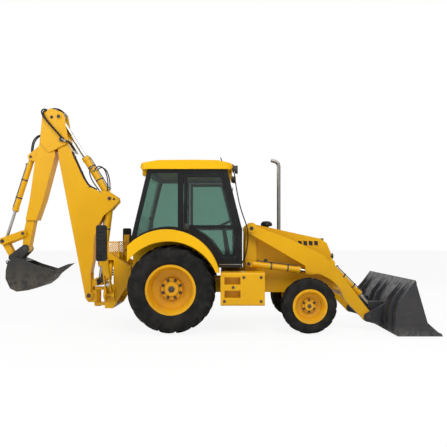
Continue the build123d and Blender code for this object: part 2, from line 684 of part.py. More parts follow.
def loader_arms():
    """The two bent arms, their cross tube, lift brackets and tilt pins."""
    y0, y1 = ARM_Y
    knee = (2367, 1198)
    face = poly(
        (1206, 1536), (2138, 993), (2331, 888), (2480, 814), (2580, 732), (2650, 634), (2715, 475),
        (3040, 150), (3130, 270), (2800, 700), (2600, 950), knee, (1871, 1440), (1315, 1645),
    )
    face += disc(ARM_PIVOT, 92) + disc(BUCKET_PIN, 78) + disc(TILT_BASE, 60)
    face -= disc(BUCKET_PIN, BUCKET_PIN_R + PIN_FIT)
    arm = slab(face, y0, y1)
    arm -= slab(disc(LIFT_EYE, LIFT_BARREL_R + 28), y0 + 16, y1 - 16)
    arm += pin_y(ARM_PIVOT, ARM_PIN_R, POST_INNER_Y, y1 + 12)
    arm += pin_y(ARM_PIVOT, ARM_PIN_R + 18, y1, y1 + 22)
    bracket = make_hull(disc(LIFT_EYE, 52).edges() + poly((2090, 1030), (2320, 900), (2320, 960)).edges())
    for a, b in ((y0, y0 + 16), (y1 - 16, y1)):
        arm += slab(bracket, a, b)
    arm += pin_y(LIFT_EYE, 32, y1, y1 + 10)
    tilt_r = TILT_BARREL_R / 2
    arm += pin_y(TILT_BASE, tilt_r, TILT_Y - 44, y0 + 5)
    arm += pin_y(TILT_BASE, tilt_r + 13, TILT_Y - 50, TILT_Y - 39)
    arm += pin_y(TILT_BASE, tilt_r + 13, TILT_Y + 39, y0)
    return both(arm) + pin_y(CROSS_TUBE, CROSS_TUBE_R, -y0, y0)


def loader_bucket():
    """The wide loader bucket: bent shell, cheeks, edge, rear ribs and pin ears."""
    half = LOADER_W / 2
    low = LOADER_FLOOR_Z
    tip = (LOADER_TIP_X, low)
    back = [tip, (3360, low), (3332, low + 50), (3328, 350), (3390, 530), LOADER_LIP]
    full = poly(*back)
    inner = offset(full, -LOADER_PLATE)
    inner = inner + Pos(54, 26) * inner
    bucket = slab(full - inner, -half, half)
    cheek = poly(*back, LOADER_NOTCH)
    bucket += both(slab(cheek, half - LOADER_PLATE, half))
    edge = poly(tip, (tip[0] - 240, low), (tip[0] - 240, low + 34), (tip[0] - 40, low + 34))
    bucket += slab(edge, -half, half)
    rib = poly((3350, low + 6), (3300, low + 40), (3282, 200), (3290, 380), (3345, 560), (3560, 800), (3420, 540))
    for y in LOADER_RIB_Y:
        bucket += both(slab(rib, y - LOADER_RIB_T / 2, y + LOADER_RIB_T / 2))
    wall = poly((3336, 70), (3336, 430), (3338, 430), (3338, 70))
    upper = poly((3336, 250), (3362, 450), (3364, 450), (3338, 250))
    pin_ear = make_hull(disc(BUCKET_PIN, 72).edges() + wall.edges())
    tilt_ear = make_hull(disc(TILT_EYE, 55).edges() + upper.edges())
    ear_in = TILT_Y - 43 - EAR_T
    ear_mid = ARM_Y[0] - 5 - EAR_T
    ear_out = ARM_Y[1] + 5
    bucket += both(slab(tilt_ear, ear_in, ear_in + EAR_T) + slab(tilt_ear, ear_mid, ear_mid + EAR_T))
    bucket += both(slab(pin_ear, ear_mid, ear_mid + EAR_T) + slab(pin_ear, ear_out, ear_out + EAR_T))
    bucket += both(pin_y(BUCKET_PIN, BUCKET_PIN_R, ear_mid, ear_out + EAR_T))
    bucket += both(pin_y(BUCKET_PIN, BUCKET_PIN_R + 14, ear_out + EAR_T, ear_out + EAR_T + 12))
    return bucket


def lift_cylinders():
    """The two loader lift cylinders: barrels and rods."""
    barrel, rod = hydraulic(LIFT_BASE, LIFT_EYE, LIFT_BARREL_R, 28, 820, 60, 690)
    barrel = Pos(0, LIFT_Y, 0) * barrel
    barrel += pin_y(LIFT_BASE, LIFT_PIN_R, POST_INNER_Y, LIFT_Y + 52)
    barrel += pin_y(LIFT_BASE, LIFT_PIN_R + 10, LIFT_Y + 42, LIFT_Y + 56)
    return both(barrel), both(Pos(0, LIFT_Y, 0) * rod)


def tilt_cylinders():
    """The two loader bucket cylinders: barrels and rods."""
    barrel, rod = hydraulic(TILT_BASE, TILT_EYE, TILT_BARREL_R, 24, 700, 66, 500)
    return both(Pos(0, TILT_Y, 0) * barrel), both(Pos(0, TILT_Y, 0) * rod)


def swing_post():
    """The swing casting: king pins, boom foot pin and the ears of the boom cylinder."""
    x, z = BOOM_FOOT
    low, high = KING_LUG_Z[0][1] + 5, KING_LUG_Z[1][0] - 5
    post = Pos(SWING_X, 0, (low + high) / 2) * Cylinder(KING_BOSS_R - 4, high - low)
    pin_low, pin_high = KING_LUG_Z[0][0] - 14, KING_LUG_Z[1][1]
    post += Pos(SWING_X, 0, (pin_low + pin_high) / 2) * Cylinder(KING_R, pin_high - pin_low)
    half = POST_HALF
    clear = SWING_X - KING_BOSS_R - 8
    eye_x, eye_z = BOOM_ROD_EYE
    web = poly(
        (SWING_X, low), (SWING_X, high), (clear, high), (clear, KING_LUG_Z[1][1] + 12),
        (eye_x + 55, eye_z - 62), (eye_x + 60, eye_z + 62), (eye_x - 40, eye_z + 66), (x - 50, 700),
        (x - 72, z + 40), (x - 72, z - 40), (x - 20, low),
    )
    post += slab(web, -half, half)
    slot = block((x - 200, eye_x + 200), (-40, 40), (KING_LUG_Z[1][0], eye_z + 200))
    post -= slot + pin_y(BOOM_ROD_EYE, BOOM_ROD_PIN_R + PIN_FIT, -half - 1, half + 1)
    post += pin_y(BOOM_FOOT, BOOM_FOOT_R, -BOOM_HALF - 12, BOOM_HALF + 12)
    cap = Pos(SWING_X, 0, pin_low + 5) * Cylinder(KING_R + 18, 10)
    return post + cap


def boom():
    """The boom: boxed beam, forked foot, front hump with the cylinder pin and the tip's bore."""
    foot_x, foot_z = BOOM_FOOT
    face = poly(
        (foot_x - BOOM_FOOT_EYE_R, foot_z + 10), (-1964, 2750), (-2000, 3090), (-1830, 3060), (-1548, 2438),
        (-1463, 2325), (-1308, 2262), (-1138, 2248), (-985, 2150), (-972, 2080), (-1082, 1952),
        (-1216, 1845), (-1308, 1684), (-1378, 1466), (-1395, 1099),
        (foot_x + BOOM_FOOT_FRONT, 900), (foot_x + BOOM_FOOT_FRONT, foot_z),
    )
    face += disc(BOOM_FOOT, BOOM_FOOT_EYE_R) + disc(DIPPER_PIVOT, 95)
    face -= disc(DIPPER_PIVOT, DIPPER_PIN_R + PIN_FIT)
    face -= disc(BOOM_FOOT, BOOM_FOOT_R + PIN_FIT)
    beam = slab(face, -BOOM_HALF, BOOM_HALF)
    inside = BOOM_HALF - BOOM_PLATE
    beam -= block((foot_x - 200, foot_x + 300), (-inside, inside), (foot_z - 200, 880))
    hump = poly((-1330, 1450), (-1290, 2150), (-1330, 2420), (-700, 2600), (-700, 1450))
    slot = BOOM_HALF - 33
    beam -= slab(hump, -slot, slot)
    beam += both(pin_y(BOOM_HUMP, HOE_BARREL_R / 2, HUMP_FORK / 2, BOOM_HALF + 8))
    return beam


def boom_cylinder():
    """The boom cylinder, its barrel on the boom's hump and its rod's eye on the swing post."""
    barrel, rod = hydraulic(BOOM_HUMP, BOOM_ROD_EYE, HOE_BARREL_R, 35, 1150, 58, 1020, neck=40)
    return barrel, rod + pin_y(BOOM_ROD_EYE, BOOM_ROD_PIN_R, -POST_HALF, POST_HALF)


def dipper_cylinder():
    """The dipper cylinder, its forked base on the hump's pin and its eye on the dipper's head."""
    return hydraulic(BOOM_HUMP, DIPPER_ROD_EYE, HOE_BARREL_R, 34, 820, 132, 60, HUMP_FORK)


def bucket_cylinder():
    """The digging bucket's cylinder, along the dipper's back."""
    return hydraulic(BUCKET_CYL_BASE, LINK_PIN, BUCKET_BARREL_R, 26, 950, 62, 470)


def dipper():
    """The dipper: box beam, forked head, cylinder lugs and narrower nose."""
    head_x = DIPPER_ROD_EYE[0] - DIPPER_HEAD_GAP
    face = poly(
        (-2104, 3639), (-2206, 3591), (-2241, 3526), (-2253, 3430), (-2294, 3049), (-2372, 2733),
        (-2455, 2119), (-2527, 1765), (-2350, 1765), (-2225, 2119), (-2030, 2858), (head_x, 2950),
        (head_x, 3620),
    )
    beam = slab(face, -DIPPER_HALF, DIPPER_HALF)
    cheek = make_hull(
        disc(DIPPER_PIVOT, 98).edges() + disc(DIPPER_ROD_EYE, 88).edges()
        + poly((-2104, 3639), (-2241, 3526), (-2270, 3049), (-2120, 2900)).edges()
    )
    side = slab(cheek, DIPPER_HALF, DIPPER_HALF + DIPPER_PLATE)
    side += pin_y(DIPPER_ROD_EYE, 46, DIPPER_HALF + DIPPER_PLATE, DIPPER_HALF + DIPPER_PLATE + 8)
    side += pin_y(DIPPER_PIVOT, 58, DIPPER_HALF + DIPPER_PLATE, DIPPER_HALF + DIPPER_PLATE + 10)
    beam += both(side)
    beam += pin_y(DIPPER_PIVOT, DIPPER_PIN_R, -DIPPER_HALF - 5, DIPPER_HALF + 5)
    base_x, base_z = BUCKET_CYL_BASE
    lug = make_hull(
        disc(BUCKET_CYL_BASE, 55).edges()
        + poly((-2300, base_z - 110), (-2300, base_z + 190), (-2290, base_z)).edges()
    )
    beam += both(slab(lug, BUCKET_BARREL_R + 4, 78))
    beam += pin_y(BUCKET_CYL_BASE, BUCKET_BARREL_R / 2, -84, 84)
    nose = poly((-2522, 1790), (-2575, 1542), (-2590, 1320), (-2490, 1260), (-2390, 1765))
    nose += disc(HOE_PIN, 64) + disc(IDLER_PIVOT, 44)
    nose -= disc(HOE_PIN, HOE_PIN_R + PIN_FIT)
    beam += slab(nose, -NOSE_HALF, NOSE_HALF)
    idler_y = IDLER_Y + IDLER_T
    beam += pin_y(IDLER_PIVOT, IDLER_PIN_R, -idler_y - 8, idler_y + 8)
    return beam


def idler_link():
    """The pair of side links from the dipper's nose to the bucket link's pin."""
    face = strap(IDLER_PIVOT, LINK_PIN, 52, LINK_EYE_R) - disc(IDLER_PIVOT, IDLER_PIN_R + PIN_FIT)
    plate = slab(face, IDLER_Y, IDLER_Y + IDLER_T)
    return both(plate + pin_y(LINK_PIN, LINK_PIN_R, LINK_Y[0], IDLER_Y + 5))


def bucket_link():
    """The short twin link from the side links to the bucket."""
    face = strap(LINK_PIN, HOE_LINK_EYE, 50, 42) - disc(LINK_PIN, LINK_PIN_R + PIN_FIT)
    link = both(slab(face, *LINK_Y))
    return link + pin_y(HOE_LINK_EYE, 34, -LINK_Y[1], LINK_Y[1])


def hoe_bucket():
    """The digging bucket: curved shell, cheeks, hinge ears, teeth and a lifting ring."""
    back = [
        (-2050, 930), (-2007, 866), (-2083, 767), (-2192, 681), (-2462, 594), (-2647, 572), (-2755, 626),
        (-2831, 789), (-2826, 930), (-2800, 1030), (-2735, 1100), (-2690, 1168),
    ]
    cheek = poly(*back, (-2353, 1027), (-2105, 952))
    full = poly(*back)
    inner = offset(full, -HOE_PLATE)
    inner = inner + Pos(36, 95) * inner
    bucket = slab(full - inner, -HOE_HALF, HOE_HALF)
    bucket += both(slab(cheek, HOE_HALF - HOE_PLATE, HOE_HALF))
    cutter = poly((-2050, 930), (-2007, 866), (-2083, 767), (-2240, 850), (-2240, 985), (-2105, 952))
    bucket += both(slab(cutter, HOE_HALF, HOE_HALF + HOE_CUTTER))
    tooth = poly((-2083, 880), (-2040, 836), (-1779, 1036), (-1990, 950))
    pitch = (2 * HOE_HALF - 60) / 3
    for step in range(4):
        y = -HOE_HALF + 30 + step * pitch
        bucket += slab(tooth, y - 28, y + 28)
    ear = make_hull(
        disc(HOE_PIN, 68).edges() + disc(HOE_LINK_EYE, 56).edges()
        + poly((-2780, 1080), (-2735, 1185), (-2600, 1128)).edges()
    )
    bucket += both(slab(ear, EAR_Y, EAR_Y + EAR_T))
    top = poly((-2735, 1100), (-2690, 1168), (-2480, 1080), (-2490, 1060), (-2686, 1142), (-2722, 1090))
    bucket += slab(top, -HOE_HALF, HOE_HALF)
    dumped = Pos(*HOE_LINK_EYE) * Rot(0, 0, HOE_LINK_DUMP) * Pos(160, 0) * Circle(54)
    bucket -= slab(make_hull(disc(HOE_LINK_EYE, 86).edges() + dumped.edges()), -EAR_Y, EAR_Y)
    bucket += pin_y(HOE_PIN, HOE_PIN_R, -EAR_Y - EAR_T, EAR_Y + EAR_T)
    return bucket + ring_eye()


def ring_eye():
    """The lifting ring on the digging bucket's back."""
    foot = make_hull(disc(RING, RING_R).edges() + poly((-2805, 1000), (-2790, 1085), (-2800, 1040)).edges())
    return slab(foot - disc(RING, RING_BORE_R), -RING_HALF, RING_HALF)


def stabilizer():
    """The stabilizer on the side towards +y: folding leg, rubber pad, cylinder barrel and rod."""
    x = sum(STAB_X) / 2
    wide = 50.0
    pivot_y, pivot_z = STAB_PIVOT
    ankle = (STAB_PAD_Y - STAB_PAD_T / 2 - 45, STAB_PAD_Z - 40)
    face = strap(STAB_PIVOT, ankle, 45, 42) - disc(STAB_PIVOT, STAB_PIN_R + PIN_FIT)
    face += poly(
        (STAB_PAD_Y - STAB_PAD_T / 2, STAB_PAD_Z - 150), (STAB_PAD_Y - STAB_PAD_T / 2, STAB_PAD_Z + 150),
        (ankle[0] - 30, ankle[1] + 40), (ankle[0] - 40, ankle[1] - 40),
    )
    leg = Pos(x - wide, 0, 0) * extrude(Plane.YZ * face, amount=2 * wide, dir=(1, 0, 0))
    leg -= block((x - 34, x + 34), (pivot_y - 100, pivot_y + 230), (pivot_z - 100, pivot_z + 400))
    pad = block(STAB_X, (STAB_PAD_Y - STAB_PAD_T / 2, STAB_PAD_Y + STAB_PAD_T / 2),
                (STAB_PAD_Z - STAB_PAD_H / 2, STAB_PAD_Z + STAB_PAD_H / 2))
    pad = fillet(pad.edges().filter_by(Axis.Y), 30)
    barrel, rod = hydraulic(STAB_CYL_BASE, STAB_CYL_EYE, STAB_BARREL_R, 20, 430, 58, 330)
    place = Pos(x, 0, 0) * Rot(0, 0, 90)
    return leg, pad, place * barrel, place * rod


def nodes():
    """Every piece by its node's name, in the frame of the rear axle."""
    parts = {
        "main_frame": main_frame(), "rear_frame": rear_frame(), "engine_block": engine_block(),
        "rear_axle": rear_axle(), "front_axle": front_axle(), "hood": hood(), "grille": grille(),
        "exhaust_stack": exhaust_stack(), "pre_cleaner": pre_cleaner(), "fenders": both(fender()),
        "cab_frame": cab_frame(), "cab_roof": cab_roof(), "cab_floor": cab_floor(),
        "cab_glass": cab_glass(), "seat": seat(), "cab_controls": cab_controls(),
        "step_boxes": step_boxes(), "loader_arms": loader_arms(), "loader_bucket": loader_bucket(),
        "swing_post": swing_post(), "boom": boom(), "dipper": dipper(), "hoe_bucket": hoe_bucket(),
        "idler_link": idler_link(), "bucket_link": bucket_link(),
    }
    parts["lift_barrels"], parts["lift_rods"] = lift_cylinders()
    parts["tilt_barrels"], parts["tilt_rods"] = tilt_cylinders()
    parts["boom_barrel"], parts["boom_rod"] = boom_cylinder()
    parts["dipper_barrel"], parts["dipper_rod"] = dipper_cylinder()
    parts["bucket_barrel"], parts["bucket_rod"] = bucket_cylinder()
    sided = {}
    sided["rear_tyre"], sided["rear_rim"] = rear_wheel()
    sided["front_tyre"], sided["front_rim"] = front_wheel()
    sided["knuckle"] = knuckle()
    sided["stabilizer_leg"], sided["stabilizer_pad"], sided["stabilizer_barrel"], sided["stabilizer_rod"] = (
        stabilizer()
    )
    for name, part in sided.items():
        parts[name + "_left"] = part
        parts[name + "_right"] = mirror(part, about=Plane.XZ)
    for name, side in (("left", 1), ("right", -1)):
        parts["door_" + name], parts["door_glass_" + name] = door(side)
    return parts


def main():
    """Write each piece to its own file, moved so that the machine's middle is the origin."""
    os.makedirs("parts", exist_ok=True)
    for name, part in nodes().items():
        export_step(Pos(SHIFT_X, 0, 0) * part, f"parts/{name}.step")


if __name__ == "__main__":
    main()
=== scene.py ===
"""Dress the backhoe loader: a finish on every solid, and each sub-assembly's small pieces."""

import json
import logging
import math
from collections.abc import Sequence
from dataclasses import dataclass
from enum import Enum

import bmesh
import bpy
from mathutils import Matrix, Vector
from mathutils.bvhtree import BVHTree


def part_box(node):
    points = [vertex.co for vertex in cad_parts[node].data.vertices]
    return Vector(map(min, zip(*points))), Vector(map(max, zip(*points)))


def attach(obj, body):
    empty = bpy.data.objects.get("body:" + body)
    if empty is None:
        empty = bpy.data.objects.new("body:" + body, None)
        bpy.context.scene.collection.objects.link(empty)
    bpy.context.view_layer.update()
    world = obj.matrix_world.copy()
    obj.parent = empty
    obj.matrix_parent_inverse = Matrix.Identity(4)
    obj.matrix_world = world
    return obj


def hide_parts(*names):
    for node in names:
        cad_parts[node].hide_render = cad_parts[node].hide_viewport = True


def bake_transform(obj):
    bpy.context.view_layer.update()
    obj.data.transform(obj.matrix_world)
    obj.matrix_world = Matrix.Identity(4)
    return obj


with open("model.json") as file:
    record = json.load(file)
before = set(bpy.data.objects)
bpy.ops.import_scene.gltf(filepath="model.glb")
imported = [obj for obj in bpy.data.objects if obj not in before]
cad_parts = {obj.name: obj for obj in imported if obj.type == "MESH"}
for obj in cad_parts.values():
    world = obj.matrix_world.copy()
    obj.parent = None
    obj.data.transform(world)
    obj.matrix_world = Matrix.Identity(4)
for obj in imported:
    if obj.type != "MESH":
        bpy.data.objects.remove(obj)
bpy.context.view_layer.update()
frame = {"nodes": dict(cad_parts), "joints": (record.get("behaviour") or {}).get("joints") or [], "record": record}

JOINTS = {joint["name"]: joint for joint in frame["joints"]}
LOG = logging.getLogger("backhoe_loader")

# Places of the colour sockets on a mix node, whose number sockets have the same names.
MIX_LOW = 6
MIX_HIGH = 7
MIX_RESULT = 2

Triple = tuple[float, float, float]
Pair = tuple[float, float]
Profile = Sequence[Pair]
Socket = bpy.types.NodeSocket
Material = bpy.types.Material
Piece = bpy.types.Object

ORIGIN: Triple = (0.0, 0.0, 0.0)


class Axis(Enum):
    """The frame's three directions."""

    X = Vector((1, 0, 0))
    Y = Vector((0, 1, 0))
    Z = Vector((0, 0, 1))


class Side(Enum):
    """The machine's two sides, as the sign of y."""

    LEFT = 1
    RIGHT = -1

    @property
    def word(self) -> str:
        """The side's name as the nodes write it."""
        return self.name.lower()

    @property
    def outward(self) -> Vector:
        """The direction away from the machine on that side."""
        return Axis.Y.value * self.value


def pivot(joint: str) -> Vector:
    """The place of a joint at rest.

    Args:
        joint: The joint's name.

    Returns:
        Its point in the shared frame, in metres.
    """
    return Vector(JOINTS[joint]["pos_m"])


class ShaderGraph:
    """A material's nodes, added one at a time round its main shader."""

    def __init__(self, name: str) -> None:
        """Start a material.

        Args:
            name: The material's name.
        """
        self.material = bpy.data.materials.new(name)
        self.material.use_nodes = True
        self.nodes = self.material.node_tree.nodes
        self.links = self.material.node_tree.links
        self.shader = self.nodes["Principled BSDF"]
        self.place = self.nodes.new("ShaderNodeTexCoord").outputs["Object"]

    def set(self, **sockets: float | Triple) -> None:
        """Write constants on the main shader's own sockets.

        Args:
            sockets: Values by socket name, with spaces written as underscores.
        """
        for name, value in sockets.items():
            socket = self.shader.inputs[name.replace("_", " ")]
            socket.default_value = (*value, 1.0) if isinstance(value, tuple) else value

    def noise(self, scale: float, detail: float = 4.0, stretch: Triple = (1, 1, 1)) -> Socket:
        """A cloudy pattern fixed to the piece.

        Args:
            scale: How many clouds there are in a metre.
            detail: How many finer layers lie on top.
            stretch: Scale of each axis.

        Returns:
            The socket that gives a value from 0 to 1.
        """
        mapping = self.nodes.new("ShaderNodeMapping")
        mapping.inputs["Scale"].default_value = stretch
        texture = self.nodes.new("ShaderNodeTexNoise")
        texture.inputs["Scale"].default_value = scale
        texture.inputs["Detail"].default_value = detail
        self.links.new(self.place, mapping.inputs["Vector"])
        self.links.new(mapping.outputs["Vector"], texture.inputs["Vector"])
        return texture.outputs["Fac"]

    def along(self, axis: Axis, start: float, end: float) -> Socket:
        """A ramp along one axis of the piece.

        Args:
            axis: The axis.
            start: Where the ramp is 0, in metres.
            end: Where it is 1.

        Returns:
            The ramp's socket.
        """
        split = self.nodes.new("ShaderNodeSeparateXYZ")
        self.links.new(self.place, split.inputs["Vector"])
        return self.remap(split.outputs[axis.name], (start, end), (0.0, 1.0))

    def remap(self, source: Socket, given: Pair, wanted: Pair) -> Socket:
        """Stretch one range of values onto another, with the ends held.

        Args:
            source: The socket to read.
            given: The range that is read.
            wanted: The range that comes out.

        Returns:
            The socket of the stretched value.
        """
        node = self.nodes.new("ShaderNodeMapRange")
        self.links.new(source, node.inputs["Value"])
        names = ("From Min", "From Max", "To Min", "To Max")
        for name, value in zip(names, (*given, *wanted)):
            node.inputs[name].default_value = value
        return node.outputs["Result"]

    def times(self, first: Socket, second: Socket) -> Socket:
        """The product of two patterns.

        Args:
            first: One pattern.
            second: The other.

        Returns:
            The product's socket.
        """
        node = self.nodes.new("ShaderNodeMath")
        node.operation = "MULTIPLY"
        self.links.new(first, node.inputs[0])
        self.links.new(second, node.inputs[1])
        return node.outputs["Value"]

    def mix(self, factor: Socket, low: Triple | Socket, high: Triple) -> Socket:
        """Colour that goes from low to high with a pattern.

        Args:
            factor: The pattern.
            low: The colour, or the socket of one, where the pattern is 0.
            high: The colour where the pattern is 1.

        Returns:
            The mixed colour's socket.
        """
        node = self.nodes.new("ShaderNodeMix")
        node.data_type = "RGBA"
        self.links.new(factor, node.inputs[0])
        if isinstance(low, tuple):
            node.inputs[MIX_LOW].default_value = (*low, 1.0)
        else:
            self.links.new(low, node.inputs[MIX_LOW])
        node.inputs[MIX_HIGH].default_value = (*high, 1.0)
        return node.outputs[MIX_RESULT]

    def bump(self, height: Socket, depth: float, strength: float = 1.0) -> None:
        """Raise the surface by a pattern.

        Args:
            height: The pattern.
            depth: Its depth in metres.
            strength: Its share, from 0 to 1.
        """
        node = self.nodes.new("ShaderNodeBump")
        node.inputs["Distance"].default_value = depth
        node.inputs["Strength"].default_value = strength
        self.links.new(height, node.inputs["Height"])
        self.links.new(node.outputs["Normal"], self.shader.inputs["Normal"])

    def feed(self, socket: str, source: Socket) -> None:
        """Lead a pattern into one of the main shader's sockets."""
        self.links.new(source, self.shader.inputs[socket])


@dataclass(frozen=True)
class Paint:
    """Sprayed enamel: cloudy colour, a fine skin, and dust that thins out with height."""

    name: str
    colour: Triple
    faded: Triple
    roughness: Pair = (0.30, 0.46)
    dust: float = 0.35
    dust_top: float = 1.1
    dust_colour: Triple = (0.30, 0.21, 0.11)
    coat: float = 0.06
    gloss: float = 0.22

    def material(self) -> Material:
        """Build the enamel.

        Returns:
            The finished material.
        """
        graph = ShaderGraph(self.name)
        clouds = graph.remap(graph.noise(1.7), (0.35, 0.70), (0.0, 1.0))
        colour = graph.mix(clouds, self.colour, self.faded)
        low = graph.along(Axis.Z, self.dust_top, 0.0)
        patches = graph.remap(graph.noise(9.0, 6.0), (0.42, 0.68), (0.0, self.dust))
        colour = graph.mix(graph.times(low, patches), colour, self.dust_colour)
        specks = graph.remap(graph.noise(58.0, 2.0), (0.70, 0.74), (0.0, 0.35))
        graph.feed("Base Color", graph.mix(specks, colour, self.faded))
        graph.feed("Roughness", graph.remap(graph.noise(6.0), (0.3, 0.7), self.roughness))
        graph.bump(graph.noise(420.0, 2.0), 0.0004, 0.25)
        graph.set(Coat_Weight=self.coat, Coat_Roughness=0.2, Specular_IOR_Level=self.gloss)
        return graph.material


@dataclass(frozen=True)
class WornSteel:
    """Dark bucket paint, rubbed to bare and rusty steel towards one end."""

    name: str
    colour: Triple
    bare: Triple
    rust: Triple
    axis: Axis
    sound_at: float
    worn_at: float

    def material(self) -> Material:
        """Build the worn paint.

        Returns:
            The finished material.
        """
        graph = ShaderGraph(self.name)
        rubbed = graph.along(self.axis, self.sound_at, self.worn_at)
        streaks = graph.remap(graph.noise(14.0, 8.0), (0.40, 0.62), (0.0, 1.0))
        stains = graph.remap(graph.noise(4.0, 6.0), (0.50, 0.72), (0.0, 0.55))
        colour = graph.mix(stains, self.colour, self.rust)
        worn = graph.times(rubbed, streaks)
        graph.feed("Base Color", graph.mix(worn, colour, self.bare))
        graph.feed("Roughness", graph.remap(streaks, (0.0, 1.0), (0.42, 0.66)))
        graph.feed("Metallic", graph.remap(worn, (0.0, 1.0), (0.1, 0.7)))
        graph.bump(graph.noise(90.0, 6.0), 0.0012, 0.4)
        return graph.material


@dataclass(frozen=True)
class Rubber:
    """Moulded rubber with a dry grey bloom."""

    name: str
    colour: Triple
    bloom: Triple
    roughness: Pair = (0.68, 0.9)

    def material(self) -> Material:
        """Build the rubber.

        Returns:
            The finished material.
        """
        graph = ShaderGraph(self.name)
        clouds = graph.remap(graph.noise(7.0, 7.0), (0.38, 0.70), (0.0, 1.0))
        graph.feed("Base Color", graph.mix(clouds, self.colour, self.bloom))
        graph.feed("Roughness", graph.remap(clouds, (0.0, 1.0), self.roughness))
        graph.bump(graph.noise(260.0, 3.0), 0.0008, 0.35)
        graph.set(Specular_IOR_Level=0.14)
        return graph.material


@dataclass(frozen=True)
class Metal:
    """Bare metal with fine marks along one axis."""

    name: str
    colour: Triple
    tarnish: Triple
    roughness: Pair
    stretch: Triple = (1, 1, 1)
    marks: float = 120.0
    depth: float = 0.0002
    metallic: float = 1.0

    def material(self) -> Material:
        """Build the metal.

        Returns:
            The finished material.
        """
        graph = ShaderGraph(self.name)
        clouds = graph.remap(graph.noise(5.0, 5.0), (0.40, 0.72), (0.0, 1.0))
        graph.feed("Base Color", graph.mix(clouds, self.colour, self.tarnish))
        scratches = graph.noise(self.marks, 3.0, self.stretch)
        graph.feed("Roughness", graph.remap(scratches, (0.3, 0.7), self.roughness))
        graph.bump(scratches, self.depth, 0.3)
        graph.set(Metallic=self.metallic)
        return graph.material


@dataclass(frozen=True)
class TintedGlass:
    """Green safety glass with a little dust."""

    name: str
    tint: Triple

    def material(self) -> Material:
        """Build the glass.

        Returns:
            The finished material.
        """
        graph = ShaderGraph(self.name)
        smears = graph.remap(graph.noise(3.0, 6.0), (0.45, 0.75), (0.02, 0.10))
        graph.feed("Roughness", smears)
        graph.set(Base_Color=self.tint, Transmission_Weight=1.0, IOR=1.45)
        return graph.material


@dataclass(frozen=True)
class Moulding:
    """Grained plastic, or a lamp's glossy lens where the grain is shallow."""

    name: str
    colour: Triple
    worn: Triple
    roughness: Pair = (0.45, 0.62)
    grain: float = 700.0
    depth: float = 0.0005

    def material(self) -> Material:
        """Build the plastic.

        Returns:
            The finished material.
        """
        graph = ShaderGraph(self.name)
        clouds = graph.remap(graph.noise(5.0, 5.0), (0.40, 0.75), (0.0, 1.0))
        graph.feed("Base Color", graph.mix(clouds, self.colour, self.worn))
        graph.feed("Roughness", graph.remap(clouds, (0.0, 1.0), self.roughness))
        graph.bump(graph.noise(self.grain, 2.0), self.depth, 0.4)
        return graph.material


@dataclass(frozen=True)
class SeatCloth:
    """Woven seat cloth: two crossing sets of threads with a soft sheen."""

    name: str
    colour: Triple
    thread: Triple
    threads: float = 330.0

    def material(self) -> Material:
        """Build the cloth.

        Returns:
            The finished material.
        """
        graph = ShaderGraph(self.name)
        sets = []
        for direction in ("X", "Y"):
            wave = graph.nodes.new("ShaderNodeTexWave")
            wave.bands_direction = direction
            wave.inputs["Scale"].default_value = self.threads
            wave.inputs["Distortion"].default_value = 0.6
            graph.links.new(graph.place, wave.inputs["Vector"])
            sets.append(wave.outputs["Fac"])
        weave = graph.times(*sets)
        graph.feed("Base Color", graph.mix(weave, self.colour, self.thread))
        graph.feed("Roughness", graph.remap(graph.noise(20.0), (0.3, 0.7), (0.8, 0.95)))
        graph.bump(weave, 0.0012, 0.6)
        graph.set(Sheen_Weight=0.4, Sheen_Roughness=0.5)
        return graph.material


